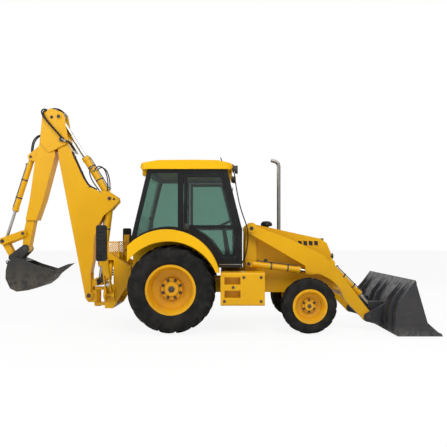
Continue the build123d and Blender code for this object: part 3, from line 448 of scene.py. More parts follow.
class Finishes:
    """Every finish of the machine, built once."""

    def __init__(self) -> None:
        """Build the materials."""
        self.yellow = Paint(
            "golden_enamel", (0.71, 0.368, 0.001), (0.66, 0.335, 0.001), dust=0.12
        ).material()
        # A lighter copy of the golden enamel, which is painted light: the roof and fenders take it so that their
        # top panels look lit.
        self.bright = Paint(
            "bright_enamel", (0.80, 0.44, 0.001), (0.75, 0.40, 0.002), (0.5, 0.66), 0.06, gloss=0.15
        ).material()
        self.rim = Paint("wheel_enamel", (0.76, 0.385, 0.003), (0.64, 0.30, 0.004), dust=0.25).material()
        self.black = Paint(
            "cab_black", (0.008, 0.008, 0.009), (0.013, 0.013, 0.014), dust=0.1, coat=0.05, gloss=0.14
        ).material()
        self.loader_steel = WornSteel(
            "loader_bucket_steel", (0.021, 0.022, 0.026), (0.15, 0.145, 0.14), (0.045, 0.036, 0.028),
            Axis.Z, 0.16, 0.0,
        ).material()
        self.hoe_steel = WornSteel(
            "hoe_bucket_steel", (0.014, 0.0135, 0.012), (0.10, 0.086, 0.068), (0.034, 0.028, 0.019),
            Axis.Z, 1.05, 0.60,
        ).material()
        self.tyre = Rubber("tyre_rubber", (0.006, 0.006, 0.006), (0.024, 0.023, 0.020)).material()
        self.pad = Rubber("pad_rubber", (0.014, 0.014, 0.014), (0.03, 0.03, 0.03)).material()
        self.hose = Rubber("hose_rubber", (0.010, 0.010, 0.011), (0.02, 0.02, 0.02), (0.45, 0.6)).material()
        self.chrome = Metal("rod_chrome", (0.50, 0.50, 0.49), (0.36, 0.35, 0.32), (0.08, 0.22)).material()
        self.stack = Metal(
            "stack_steel", (0.23, 0.22, 0.20), (0.19, 0.175, 0.155), (0.30, 0.42), (1, 1, 0.1)
        ).material()
        self.zinc = Metal("zinc_plate", (0.27, 0.26, 0.24), (0.18, 0.16, 0.13), (0.35, 0.55)).material()
        self.casting = Metal(
            "dark_casting", (0.045, 0.042, 0.038), (0.085, 0.066, 0.045), (0.55, 0.8),
            marks=60.0, depth=0.002, metallic=0.2,
        ).material()
        self.glass = TintedGlass("tinted_glass", (0.27, 0.43, 0.37)).material()
        self.plastic = Moulding("grained_black", (0.016, 0.016, 0.017), (0.03, 0.03, 0.03)).material()
        self.lens = Moulding(
            "lamp_lens", (0.72, 0.73, 0.74), (0.6, 0.6, 0.6), (0.08, 0.15), 150.0
        ).material()
        self.seat = SeatCloth("seat_cloth", (0.022, 0.022, 0.024), (0.06, 0.06, 0.065)).material()
        # Near-black for sheets of painted shade, set behind slots and gaps that would be in shade.
        self.void = Moulding("dark_recess", (0.006, 0.006, 0.006), (0.01, 0.01, 0.01)).material()

    def by_node(self) -> dict[str, Material]:
        """The finish of every solid of the frame.

        Returns:
            Materials by node name.
        """
        by_slot = {
            "yellow_paint": self.yellow,
            "rim_paint": self.rim,
            "black_paint": self.black,
            "charcoal_paint": self.loader_steel,
            "tyre_rubber": self.tyre,
            "pad_rubber": self.pad,
            "chrome_rod": self.chrome,
            "tinted_glass": self.glass,
            "seat_fabric": self.seat,
            "black_plastic": self.plastic,
            "dark_casting": self.casting,
            "stack_steel": self.stack,
            "lamp_lens": self.lens,
        }
        found = {part["node"]: by_slot[part["material_slot"]] for part in frame["record"]["subparts"]}
        found["hoe_bucket"] = self.hoe_steel
        found["cab_floor"] = self.plastic
        # The roof and fenders take the lighter copy of the yellow, painted light on the top panels.
        for name in ("fenders", "cab_roof"):
            found[name] = self.bright
        return found


class Surface:
    """A solid's skin, which pieces are seated on."""

    def __init__(self, node: str) -> None:
        """Read the skin of one node.

        Args:
            node: The node's name.
        """
        mesh = frame["nodes"][node].data
        points = [vertex.co.copy() for vertex in mesh.vertices]
        self.tree = BVHTree.FromPolygons(points, [tuple(face.vertices) for face in mesh.polygons])

    def hit(self, start: Vector, direction: Vector) -> Vector | None:
        """Where a straight line first meets the skin.

        Args:
            start: The line's start.
            direction: Its direction.

        Returns:
            The point that it meets, or None where it misses.
        """
        return self.tree.ray_cast(start, direction)[0]


def across(axis: Vector) -> tuple[Vector, Vector]:
    """Two unit directions square to an axis and to each other.

    Args:
        axis: The axis, of any length but 0.

    Returns:
        The two directions.
    """
    helper = Axis.Z.value if abs(axis.normalized().z) < 0.9 else Axis.X.value
    first = axis.cross(helper).normalized()
    return first, axis.cross(first).normalized()


class Sculpt:
    """Closed shapes gathered into one mesh, which becomes a named piece."""

    def __init__(self) -> None:
        """Start with nothing."""
        self.mesh = bmesh.new()

    def loft(self, rings: Sequence[Sequence[Vector]], closed: bool = False) -> None:
        """Skin a row of rings with as many points each, and cap the ends.

        Args:
            rings: The rings in order.
            closed: Whether the last ring joins the first.
        """
        rows = [[self.mesh.verts.new(point) for point in ring] for ring in rings]
        count = len(rows[0])
        pairs = list(zip(rows, rows[1:])) + ([(rows[-1], rows[0])] if closed else [])
        for low, high in pairs:
            for i in range(count):
                j = (i + 1) % count
                self.mesh.faces.new((low[i], low[j], high[j], high[i]))
        if not closed:
            self.mesh.faces.new(list(reversed(rows[0])))
            self.mesh.faces.new(rows[-1])

    def lathe(
        self, profile: Profile, centre: Vector, axis: Vector, segments: int, closed: bool = False
    ) -> None:
        """Turn a profile of (radius, height) about an axis.

        Args:
            profile: The outline from one end to the other.
            centre: The point of height 0.
            axis: The direction of height.
            segments: How many sides the round has.
            closed: Whether the outline closes on itself, round an open middle.
        """
        along = axis.normalized()
        side, up = across(along)
        rings = []
        for radius, height in profile:
            ring = []
            for i in range(segments):
                turn = math.tau * i / segments
                out = side * math.cos(turn) + up * math.sin(turn)
                ring.append(centre + along * height + out * radius)
            rings.append(ring)
        self.loft(rings, closed)

    def hex_bolt(self, seat: Vector, axis: Vector, flats: float) -> None:
        """A hex head with a chamfer on a round washer.

        Args:
            seat: The middle of the washer's underside.
            axis: The direction away from the seat.
            flats: The size across the flats.
        """
        washer = flats * 0.85
        self.lathe(((washer, -0.002), (washer, 0.003), (washer * 0.92, 0.004)), seat, axis, 16)
        corner = flats / math.sqrt(3)
        height = 0.004 + flats * 0.62
        self.lathe(((corner, 0.003), (corner, height * 0.85), (corner * 0.86, height)), seat, axis, 6)

    def block(self, low: Vector, high: Vector, edge: float, turn: Matrix | None = None) -> None:
        """A box with rounded edges.

        Args:
            low: Its lowest corner.
            high: Its highest corner.
            edge: The edge radius.
            turn: How it is turned and placed, if it is.
        """
        made = bmesh.ops.create_cube(self.mesh, size=1.0)["verts"]
        size = high - low
        bmesh.ops.scale(self.mesh, vec=size, verts=made)
        bmesh.ops.translate(self.mesh, vec=(low + high) / 2, verts=made)
        edges = list({e for v in made for e in v.link_edges})
        width = min(edge, min(size) * 0.45)
        result = bmesh.ops.bevel(
            self.mesh, geom=edges, offset=width, segments=2, profile=0.5, affect="EDGES"
        )
        if turn is not None:
            corners = list({v for face in result["faces"] for v in face.verts})
            bmesh.ops.transform(self.mesh, matrix=turn, verts=corners)

    def tube(self, points: Sequence[Vector], radius: float, segments: int) -> None:
        """A round bar along a smooth line through the points' pull.

        Args:
            points: The line's control points.
            radius: The bar's radius.
            segments: How many sides it has.
        """
        line = smooth_line(points)
        rings = []
        previous = None
        for i, point in enumerate(line):
            ahead = line[min(i + 1, len(line) - 1)] - line[max(i - 1, 0)]
            along = ahead.normalized()
            if previous is None:
                side = across(along)[0]
            else:
                side = (previous - along * previous.dot(along)).normalized()
            up = along.cross(side)
            previous = side
            turns = [math.tau * k / segments for k in range(segments)]
            rings.append([point + (side * math.cos(t) + up * math.sin(t)) * radius for t in turns])
        self.loft(rings)

    def piece(self, name: str, finish: Material, smooth: float = 35.0) -> Piece:
        """Turn the gathered shapes into an object.

        Args:
            name: The piece's name.
            finish: Its material.
            smooth: The angle in degrees up to which edges are shaded round.

        Returns:
            The new object, in place.
        """
        bmesh.ops.recalc_face_normals(self.mesh, faces=self.mesh.faces)
        data = bpy.data.meshes.new(name)
        self.mesh.to_mesh(data)
        self.mesh.free()
        data.materials.append(finish)
        data.shade_smooth()
        data.set_sharp_from_angle(angle=math.radians(smooth))
        made = bpy.data.objects.new(name, data)
        bpy.context.scene.collection.objects.link(made)
        return made


def smooth_line(points: Sequence[Vector]) -> list[Vector]:
    """Points along the smooth curve that the given points pull.

    Args:
        points: The control points.

    Returns:
        Points read from the curve.
    """
    data = bpy.data.curves.new("route", "CURVE")
    data.dimensions = "3D"
    spline = data.splines.new("NURBS")
    spline.points.add(len(points) - 1)
    for slot, point in zip(spline.points, points):
        slot.co = (*point, 1.0)
    spline.order_u = 3
    spline.use_endpoint_u = True
    spline.resolution_u = 6
    holder = bpy.data.objects.new("route", data)
    line = bpy.data.meshes.new_from_object(holder)
    found = [vertex.co.copy() for vertex in line.vertices]
    bpy.data.objects.remove(holder)
    bpy.data.meshes.remove(line)
    bpy.data.curves.remove(data)
    return found


@dataclass
class SubAssembly:
    """What every sub-assembly shares: its finishes and the way its pieces are kept."""

    finishes: Finishes

    def keep(self, piece: Piece, body: str, slot: str) -> None:
        """Let a piece ride on a body.

        Args:
            piece: The finished object.
            body: The body that it rides on.
            slot: The record's material slot; not used.
        """
        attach(piece, body)
        LOG.info("%s rides on %s", piece.name, body)


@dataclass(frozen=True)
class Studio:
    """A plain pale floor, soft lamps and the camera of a level side view."""

    camera_at: Triple = (0.2655, -8.5, 1.432)
    lens: float = 40.27
    shift_up: float = 0.0369
    floor_half: float = 60.0
    floor_tone: Triple = (0.86, 0.86, 0.86)
    floor_shade: Triple = (0.84, 0.84, 0.84)
    floor_glow: float = 0.90
    sky: float = 0.48
    lamps_aim: Triple = (0, 0, 1.0)
    lamps: tuple[tuple[Triple, float, float], ...] = (
        ((2.5, -6.0, 7.5), 5.0, 470.0),
        ((-6.0, -5.0, 5.0), 4.0, 200.0),
        ((3.0, 7.0, 6.0), 5.0, 220.0),
    )

    def build(self) -> None:
        """Set up the floor, the light and the camera."""
        self.floor()
        self.light()
        self.camera()

    def floor(self) -> None:
        """Lay the floor, which a camera sees nearly white with the object's shadow kept."""
        data = bpy.data.meshes.new("studio_floor")
        half = self.floor_half
        corners = [(-half, -half, 0), (half, -half, 0), (half, half, 0), (-half, half, 0)]
        data.from_pydata(corners, [], [(0, 1, 2, 3)])
        floor = bpy.data.objects.new("studio_floor", data)
        bpy.context.scene.collection.objects.link(floor)
        graph = ShaderGraph("pale_floor")
        tone = graph.mix(graph.noise(0.4), self.floor_tone, self.floor_shade)
        graph.feed("Base Color", tone)
        graph.set(Roughness=0.9)
        glow = graph.nodes.new("ShaderNodeEmission")
        glow.inputs["Strength"].default_value = 1.0
        seen = graph.nodes.new("ShaderNodeLightPath")
        blend = graph.nodes.new("ShaderNodeMixShader")
        share = graph.remap(seen.outputs["Is Camera Ray"], (0.0, 1.0), (0.0, self.floor_glow))
        graph.links.new(share, blend.inputs["Fac"])
        graph.links.new(graph.shader.outputs["BSDF"], blend.inputs[1])
        graph.links.new(glow.outputs["Emission"], blend.inputs[2])
        graph.links.new(blend.outputs["Shader"], graph.nodes["Material Output"].inputs["Surface"])
        data.materials.append(graph.material)

    def light(self) -> None:
        """Hang the soft lamps round the machine, and light the sky."""
        for place, size, power in self.lamps:
            data = bpy.data.lights.new("soft_lamp", "AREA")
            data.size = size
            data.energy = power
            lamp = bpy.data.objects.new("soft_lamp", data)
            lamp.location = place
            aim = Vector(self.lamps_aim) - Vector(place)
            lamp.rotation_euler = aim.to_track_quat("-Z", "Y").to_euler()
            bpy.context.scene.collection.objects.link(lamp)
        self.colour_sky()

    def colour_sky(self) -> None:
        """Colour the sky, white to the eye and softer as light."""
        world = bpy.data.worlds.new("studio_sky")
        bpy.context.scene.world = world
        world.use_nodes = True
        nodes = world.node_tree.nodes
        links = world.node_tree.links
        path = nodes.new("ShaderNodeLightPath")
        seen = path.outputs["Is Camera Ray"]
        for name in ("Is Glossy Ray", "Is Transmission Ray"):
            both = nodes.new("ShaderNodeMath")
            both.operation = "MAXIMUM"
            links.new(seen, both.inputs[0])
            links.new(path.outputs[name], both.inputs[1])
            seen = both.outputs["Value"]
        strength = nodes.new("ShaderNodeMapRange")
        strength.inputs["To Min"].default_value = self.sky
        strength.inputs["To Max"].default_value = 1.0
        links.new(seen, strength.inputs["Value"])
        backdrop = nodes["Background"]
        backdrop.inputs["Color"].default_value = (1, 1, 1, 1)
        links.new(strength.outputs["Result"], backdrop.inputs["Strength"])

    def camera(self) -> None:
        """Stand the camera level at the machine's right-hand side."""
        data = bpy.data.cameras.new("side_camera")
        data.lens = self.lens
        data.sensor_width = 36.0
        data.shift_y = self.shift_up
        data.clip_end = 200.0
        camera = bpy.data.objects.new("side_camera", data)
        camera.location = self.camera_at
        camera.rotation_euler = (math.radians(90), 0, 0)
        bpy.context.scene.collection.objects.link(camera)
        bpy.context.scene.camera = camera
        bpy.context.scene.view_settings.view_transform = "Standard"


@dataclass
class Bodywork(SubAssembly):
    """The solids that show as they are, with eased edges and their finish."""

    edge: float = 0.004
    soft_edge: float = 0.016
    soft_nodes: tuple[str, ...] = ("hood", "cab_roof", "fenders")
    sharp_from: float = 40.0
    weld_gap: float = 0.00005

    def dress(self) -> None:
        """Give each solid its finish and ease its edges."""
        for name, finish in self.finishes.by_node().items():
            node = frame["nodes"][name]
            node.data.materials.clear()
            node.data.materials.append(finish)
            self.ease(node, self.soft_edge if name in self.soft_nodes else self.edge)
            LOG.info("%s has %s", name, finish.name)

    def ease(self, node: Piece, width: float) -> None:
        """Round a solid's sharp edges a little.

        Args:
            node: The solid.
            width: How wide the rounding is.
        """
        weld = node.modifiers.new("weld", "WELD")
        weld.merge_threshold = self.weld_gap
        bevel = node.modifiers.new("eased_edges", "BEVEL")
        bevel.width = width
        bevel.segments = 2
        bevel.limit_method = "ANGLE"
        bevel.angle_limit = math.radians(self.sharp_from)
        bevel.harden_normals = False
        node.modifiers.new("even_shading", "WEIGHTED_NORMAL")


@dataclass(frozen=True)
class WheelSize:
    """The sizes of one axle's wheels, in metres."""

    axle: str
    radius: float
    width: float
    rim: float
    lug_height: float
    lug_width: float
    lugs: int
    bolts: int
    bolt_ring: float
    bolt_flats: float


REAR_WHEEL = WheelSize(
    "rear", radius=0.68, width=0.48, rim=0.36, lug_height=0.042, lug_width=0.064, lugs=16,
    bolts=8, bolt_ring=0.142, bolt_flats=0.030,
)
FRONT_WHEEL = WheelSize(
    "front", radius=0.428, width=0.30, rim=0.24, lug_height=0.026, lug_width=0.044, lugs=14,
    bolts=6, bolt_ring=0.090, bolt_flats=0.024,
)


@dataclass
class Wheel(SubAssembly):
    """One wheel: its lugged tyre, wheel bolts and hub cap."""

    size: WheelSize
    side: Side
    sides: int = 96
    lug_steps: int = 8
    lug_start: float = 0.03
    lug_reach: float = 0.94
    lug_feet: tuple[float, ...] = (0.46, 0.36, 0.34, 0.34, 0.36, 0.46)
    shoulder_drop: float = 0.15
    lug_edge: float = 0.006
    cap_share: float = 0.34

    def __post_init__(self) -> None:
        """Find the wheel's place on its axle."""
        self.body = f"{self.size.axle}_wheel_{self.side.word}"
        self.centre = pivot(f"{self.body}_spin")
        self.outward = self.side.outward

    def build(self) -> None:
        """Build the tyre and the bolts."""
        self.tyre()
        self.fasteners()

    def carcass(self) -> list[Pair]:
        """The tyre's outline, from one bead round to the other.

        Returns:
            Points of (radius, height) with the height along the axle.
        """
        size = self.size
        half = size.width / 2
        depth = size.radius - size.rim
        crown = size.radius - size.lug_height
        bead = [
            (size.rim + 0.001, half * 0.60), (size.rim + 0.002, half * 0.78),
            (size.rim + 0.022, half * 0.80), (size.rim + 0.030, half * 0.88),
        ]
        wall = [
            (size.rim + depth * 0.16, half * 0.915), (size.rim + depth * 0.18, half * 0.945),
            (size.rim + depth * 0.22, half * 0.945), (size.rim + depth * 0.24, half * 0.95),
            (size.rim + depth * 0.42, half * 0.995), (size.rim + depth * 0.55, half * 0.99),
        ]
        tread = [
            (crown - depth * 0.15, half * 0.945), (crown - depth * 0.06, half * 0.84),
            (crown - depth * 0.015, half * 0.66), (crown, half * 0.45),
        ]
        outer = bead + wall + tread
        return outer + [(radius, -height) for radius, height in reversed(outer)]

    def lug(self, turn: float, row: int) -> list[list[Vector]]:
        """The rings of one lug, from the tread's middle out over the shoulder.

        Args:
            turn: The lug's place round the tyre, in radians.
            row: The side of the tread that it lies on, as the sign of y.

        Returns:
            Rings of six points.
        """
        size = self.size
        half = size.width / 2
        depth = size.radius - size.rim
        pitch = math.tau / size.lugs
        top = size.radius * math.cos(pitch / 2) / math.cos(pitch / 4)
        shift = size.radius * math.sin(pitch / 2) - size.lug_width / 2
        rings = []
        for step in range(self.lug_steps + 1):
            share = step / self.lug_steps
            lean = math.atan2(shift * (2 * share - 1), top) - turn
            tip = size.radius - depth * self.shoulder_drop * share**1.6
            root = size.radius - size.lug_height - depth * (0.06 + 0.30 * share**2)
            edge = self.lug_edge
            wide = size.lug_width * (1 + 0.12 * share)
            section = (
                (-0.64 * wide, root), (-0.52 * wide, tip - edge), (-0.5 * wide + edge, tip),
                (0.5 * wide - edge, tip), (0.52 * wide, tip - edge), (0.64 * wide, root),
            )
            y = row * half * (self.lug_start + self.lug_reach * share)
            ring = []
            for offset, radius in section:
                angle = lean + offset / size.radius
                ring.append(self.centre + Vector((radius * math.sin(angle), y, -radius * math.cos(angle))))
            rings.append(ring)
        foot = []
        for point, depth_share in zip(rings[-1], self.lug_feet):
            away = point - self.centre
            flat = Vector((away.x, 0, away.z)).normalized() * (size.radius - depth * depth_share)
            foot.append(self.centre + flat + Vector((0, row * half * 0.998, 0)))
        rings.append(foot)
        return rings

    def tyre(self) -> None:
        """Turn the carcass and set the two staggered rows of lugs on it."""
        shape = Sculpt()
        shape.lathe(self.carcass(), self.centre, Axis.Y.value, self.sides, closed=True)
        pitch = math.tau / self.size.lugs
        for step in range(self.size.lugs):
            shape.loft(self.lug((step + 0.25) * pitch, self.side.value))
            shape.loft(self.lug((step + 0.75) * pitch, -self.side.value))
        piece = shape.piece(f"{self.size.axle}_tread_{self.side.word}", self.finishes.tyre)
        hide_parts(f"{self.size.axle}_tyre_{self.side.word}")
        self.keep(piece, self.body, "tyre_rubber")

    def fasteners(self) -> None:
        """Seat the wheel bolts on the hub, with a cap on its middle."""
        skin = Surface(f"{self.size.axle}_rim_{self.side.word}")
        shape = Sculpt()
        for step in range(self.size.bolts):
            turn = math.tau * (step + 0.5) / self.size.bolts
            out = Vector((math.cos(turn), 0, math.sin(turn))) * self.size.bolt_ring
            seat = skin.hit(self.centre + out + self.outward, -self.outward)
            if seat is not None:
                shape.hex_bolt(seat, self.outward, self.size.bolt_flats)
        middle = skin.hit(self.centre + self.outward, -self.outward)
        cap = self.size.bolt_ring * self.cap_share
        dome = ((cap, -0.002), (cap, 0.008), (cap * 0.8, 0.014), (cap * 0.3, 0.016))
        shape.lathe(dome, middle, self.outward, 24)
        piece = shape.piece(f"{self.size.axle}_wheel_bolts_{self.side.word}", self.finishes.casting)
        self.keep(piece, self.body, "dark_casting")


@dataclass(frozen=True)
class Pad:
    """One padded part of the seat: two corners, its lean in degrees and its seams' places along y."""

    name: str
    low: Triple
    high: Triple
    lean: float
    channels: tuple[float, ...]


@dataclass
class OperatorSeat(SubAssembly):
    """The operator's seat: two sewn cushions swollen in a cloth simulation."""

    pads: tuple[Pad, ...] = (
        Pad("seat_cushion", (0.122, -0.257, 1.346), (0.648, 0.257, 1.434), 0.0, (-0.13, 0.13)),
        Pad("seat_back", (0.142, -0.247, 1.440), (0.217, 0.247, 2.056), -6.0, (-0.12, 0.12)),
    )
    back_x: float = 0.07
    corner: float = 0.04
    voxel: float = 0.011
    swell: float = 0.016
    pressure: float = 4.0
    frames: int = 16
    seam_depth: float = 0.009
    seam_width: float = 0.012

    def build(self) -> None:
        """Make both cushions, which stand for the plain seat."""
        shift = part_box("seat")[0].x - self.back_x
        for pad in self.pads:
            piece = self.cushion(pad, shift)
            self.keep(piece, "chassis", "seat_fabric")
            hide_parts("seat")

    def cushion(self, pad: Pad, shift: float) -> Piece:
        """One cushion: a rounded block, evenly meshed, swollen and then sewn.

        Args:
            pad: Which cushion.
            shift: How far the frame's zero lies from the pads' own along x.

        Returns:
            The finished cushion.
        """
        low = Vector(pad.low) + Vector((shift, 0, 0))
        high = Vector(pad.high) + Vector((shift, 0, 0))
        foot = Vector(((low.x + high.x) / 2, 0, low.z))
        tilt = Matrix.Rotation(math.radians(pad.lean), 4, "Y")
        turn = Matrix.Translation(foot) @ tilt @ Matrix.Translation(-foot)
        shape = Sculpt()
        shape.block(low, high, self.corner, turn)
        piece = shape.piece(pad.name, self.finishes.seat, 180.0)
        remesh = piece.modifiers.new("even_skin", "REMESH")
        remesh.mode = "VOXEL"
        remesh.voxel_size = self.voxel
        self.settle(piece)
        self.inflate(piece)
        self.sew(piece, pad)
        piece.data.shade_smooth()
        smooth = piece.modifiers.new("soft_skin", "SUBSURF")
        smooth.levels = 1
        smooth.render_levels = 1
        return piece

    def settle(self, piece: Piece) -> None:
        """Turn a piece's modifiers into its own mesh.

        Args:
            piece: The piece, which keeps no modifier.
        """
        shown = bpy.context.evaluated_depsgraph_get()
        mesh = bpy.data.meshes.new_from_object(piece.evaluated_get(shown))
        piece.modifiers.clear()
        piece.data = mesh

    def inflate(self, piece: Piece) -> None:
        """Swell a cushion under inner pressure, no further than the swell allows.

        Args:
            piece: The evenly meshed cushion.
        """
        rest = [vertex.co.copy() for vertex in piece.data.vertices]
        cloth = piece.modifiers.new("swelling", "CLOTH")
        cloth.settings.use_pressure = True
        cloth.settings.uniform_pressure_force = self.pressure
        cloth.settings.effector_weights.gravity = 0.0
        for step in range(1, self.frames + 1):
            bpy.context.scene.frame_set(step)
        self.settle(piece)
        for vertex, start in zip(piece.data.vertices, rest):
            move = vertex.co - start
            if move.length > self.swell:
                vertex.co = start + move.normalized() * self.swell
        bpy.context.scene.frame_set(1)

    def sew(self, piece: Piece, pad: Pad) -> None:
        """Pull the sewn channels in along the cushion's length.

        Args:
            piece: The cushion.
            pad: Which cushion it is.
        """
        normals = [vertex.normal.copy() for vertex in piece.data.vertices]
        for vertex, normal in zip(piece.data.vertices, normals):
            for y in pad.channels:
                near = math.exp(-(((vertex.co.y - y) / self.seam_width) ** 2))
                vertex.co -= normal * self.seam_depth * near


@dataclass
class PinEnds(SubAssembly):
    """The keeper plates and bolts on the ends of the working pins."""

    pins: tuple[tuple[str, str, float], ...] = (
        ("loader_lift", "loader_arms", 0.032), ("loader_bucket_tilt", "loader_bucket", 0.040),
        ("lift_barrel_pivot", "lift_barrels", 0.030), ("boom_lift", "swing_post", 0.036),
        ("dipper_swing", "dipper", 0.044), ("hoe_bucket_curl", "hoe_bucket", 0.036),
        ("idler_pivot", "dipper", 0.026), ("bucket_link_pivot", "idler_link", 0.034),
        ("bucket_barrel_pivot", "dipper", 0.022), ("dipper_barrel_pivot", "boom", 0.030),
    )
    eyes: tuple[tuple[str, Triple, str, float], ...] = (
        ("dipper_rod_eye", (-2.4915, 0.0, 3.499), "dipper", 0.030),
        ("dipper_head", (-2.61, 0.0, 3.49), "dipper", 0.026),
        ("boom_hump_end", (-1.575, 0.0, 2.12), "boom", 0.018),
    )
    reach: float = 2.0

    def build(self) -> None:
        """Cap every pin on both sides."""
        spots = [(joint, pivot(joint), body, radius) for joint, body, radius in self.pins]
        spots += [(name, Vector(place), body, radius) for name, place, body, radius in self.eyes]
        for name, place, body, radius in spots:
            skin = Surface(body)
            shape = Sculpt()
            for side in Side:
                seat = skin.hit(place + side.outward * self.reach, -side.outward)
                if seat is not None:
                    self.cap(shape, seat, side.outward, radius)
            self.keep(shape.piece(f"{name}_pin_ends", self.finishes.casting), body, "dark_casting")

    def cap(self, shape: Sculpt, seat: Vector, outward: Vector, radius: float) -> None:
        """A dished keeper with its bolt.

        Args:
            shape: What it is added to.
            seat: The middle of its underside.
            outward: The direction away from the seat.
            radius: The keeper's radius.
        """
        profile = (
            (radius, -0.002), (radius, 0.006), (radius * 0.9, 0.009),
            (radius * 0.62, 0.009), (radius * 0.5, 0.006),
        )
        shape.lathe(profile, seat, outward, 28)
        shape.hex_bolt(seat + outward * 0.005, outward, radius * 0.55)


@dataclass(frozen=True)
class Ram:
    """One kind of hydraulic cylinder: its barrel's body, base pin and size, with start and end along it."""

    body: str
    base: str
    slide: str
    forward: int
    radius: float
    start: float
    end: float
    sides: tuple[float, ...] = (0.0,)


@dataclass
class Rams(SubAssembly):
    """What the cylinders carry: gland nuts, steel lines along the barrels, their bands and ports."""

    rams: tuple[Ram, ...] = (
        Ram("lift_barrels", "lift_barrel_pivot", "lift_rod_slide", 1, 0.050, 0.10, 0.82, (-0.55, 0.55)),
        Ram("tilt_barrels", "tilt_barrel_pivot", "tilt_rod_slide", 1, 0.042, 0.09, 0.70, (-0.43, 0.43)),
        Ram("boom_barrel", "dipper_barrel_pivot", "boom_barrel_slide", -1, 0.060, 0.16, 1.15),
        Ram("dipper_barrel", "dipper_barrel_pivot", "dipper_rod_slide", 1, 0.060, 0.12, 0.82),
        Ram("bucket_barrel", "bucket_barrel_pivot", "bucket_rod_slide", 1, 0.045, 0.10, 0.95),
    )
    line_radius: float = 0.008
    rod_share: float = 0.66
    port_inset: float = 0.03
    band_half: float = 0.012
    band_places: tuple[float, ...] = (0.35, 0.75)

    def build(self) -> None:
        """Dress every cylinder."""
        for ram in self.rams:
            along = Vector(JOINTS[ram.slide]["axis"]) * ram.forward
            up = Axis.Y.value.cross(along)
            up = up if up.z > 0 else -up
            nuts, lines = Sculpt(), Sculpt()
            for y in ram.sides:
                base = pivot(ram.base) + Vector((0, y, 0))
                self.gland(nuts, ram, base, along)
                self.line(lines, ram, base, along, up)
            self.keep(nuts.piece(f"{ram.body}_glands", self.finishes.zinc), ram.body, "dark_casting")
            self.keep(lines.piece(f"{ram.body}_lines", self.finishes.casting), ram.body, "dark_casting")

    def gland(self, shape: Sculpt, ram: Ram, base: Vector, along: Vector) -> None:
        """A gland nut round the rod's way out, with its wiper lip.

        Args:
            shape: What it is added to.
            ram: The cylinder.
            base: The middle of its base pin.
            along: The direction from the base to the rod.
        """
        out = ram.radius + 0.004
        rod = ram.radius * self.rod_share
        profile = (
            (rod, 0.0), (out, 0.0), (out, 0.010), (out * 0.93, 0.014), (rod + 0.004, 0.014), (rod, 0.010),
        )
        shape.lathe(profile, base + along * ram.end, along, 24, closed=True)

    def line(self, shape: Sculpt, ram: Ram, base: Vector, along: Vector, up: Vector) -> None:
        """A steel line from the base's port to the gland's, held by bands.

        Args:
            shape: What it is added to.
            ram: The cylinder.
            base: The middle of its base pin.
            along: The direction from the base to the rod.
            up: The side of the barrel that the line lies on.
        """
        lift = ram.radius + self.line_radius * 1.6
        first, last = ram.start + self.port_inset, ram.end - self.port_inset
        route = [
            base + along * last + up * ram.radius * 0.9, base + along * (last - 0.01) + up * lift,
            base + along * (last - 0.08) + up * lift, base + along * (first + 0.10) + up * lift,
            base + along * (first + 0.02) + up * lift, base + along * first + up * (lift + 0.02),
        ]
        shape.tube(route, self.line_radius, 8)
        ring = ram.radius + 0.0015
        half = self.band_half
        band = ((ring - 0.003, -half), (ring, -half), (ring, half), (ring - 0.003, half))
        grip = ((0.004, -half), (0.013, -half), (0.013, half), (0.004, half))
        for share in self.band_places:
            middle = base + along * (first + (last - first) * share)
            shape.lathe(band, middle, along, 32, closed=True)
            shape.lathe(grip, middle + up * lift, along, 12)
        port = ((0.014, 0.0), (0.014, 0.012), (0.010, 0.018))
        for place in (first, last):
            shape.lathe(port, base + along * place + up * ram.radius * 0.96, up, 6)


@dataclass(frozen=True)
class HoseRun:
    """One set of hoses: the route of the first, where the others lie beside it, and what it joins.

    A set with a second body also names start and end points, which nothing reads; its pieces are baked in place
    and ride on no body.
    """

    name: str
    route: tuple[Triple, ...]
    radius: float
    body: str
    beside: tuple[Triple, ...] = (ORIGIN,)
    second: str = ""
    start: Triple = ORIGIN
    end: Triple = ORIGIN


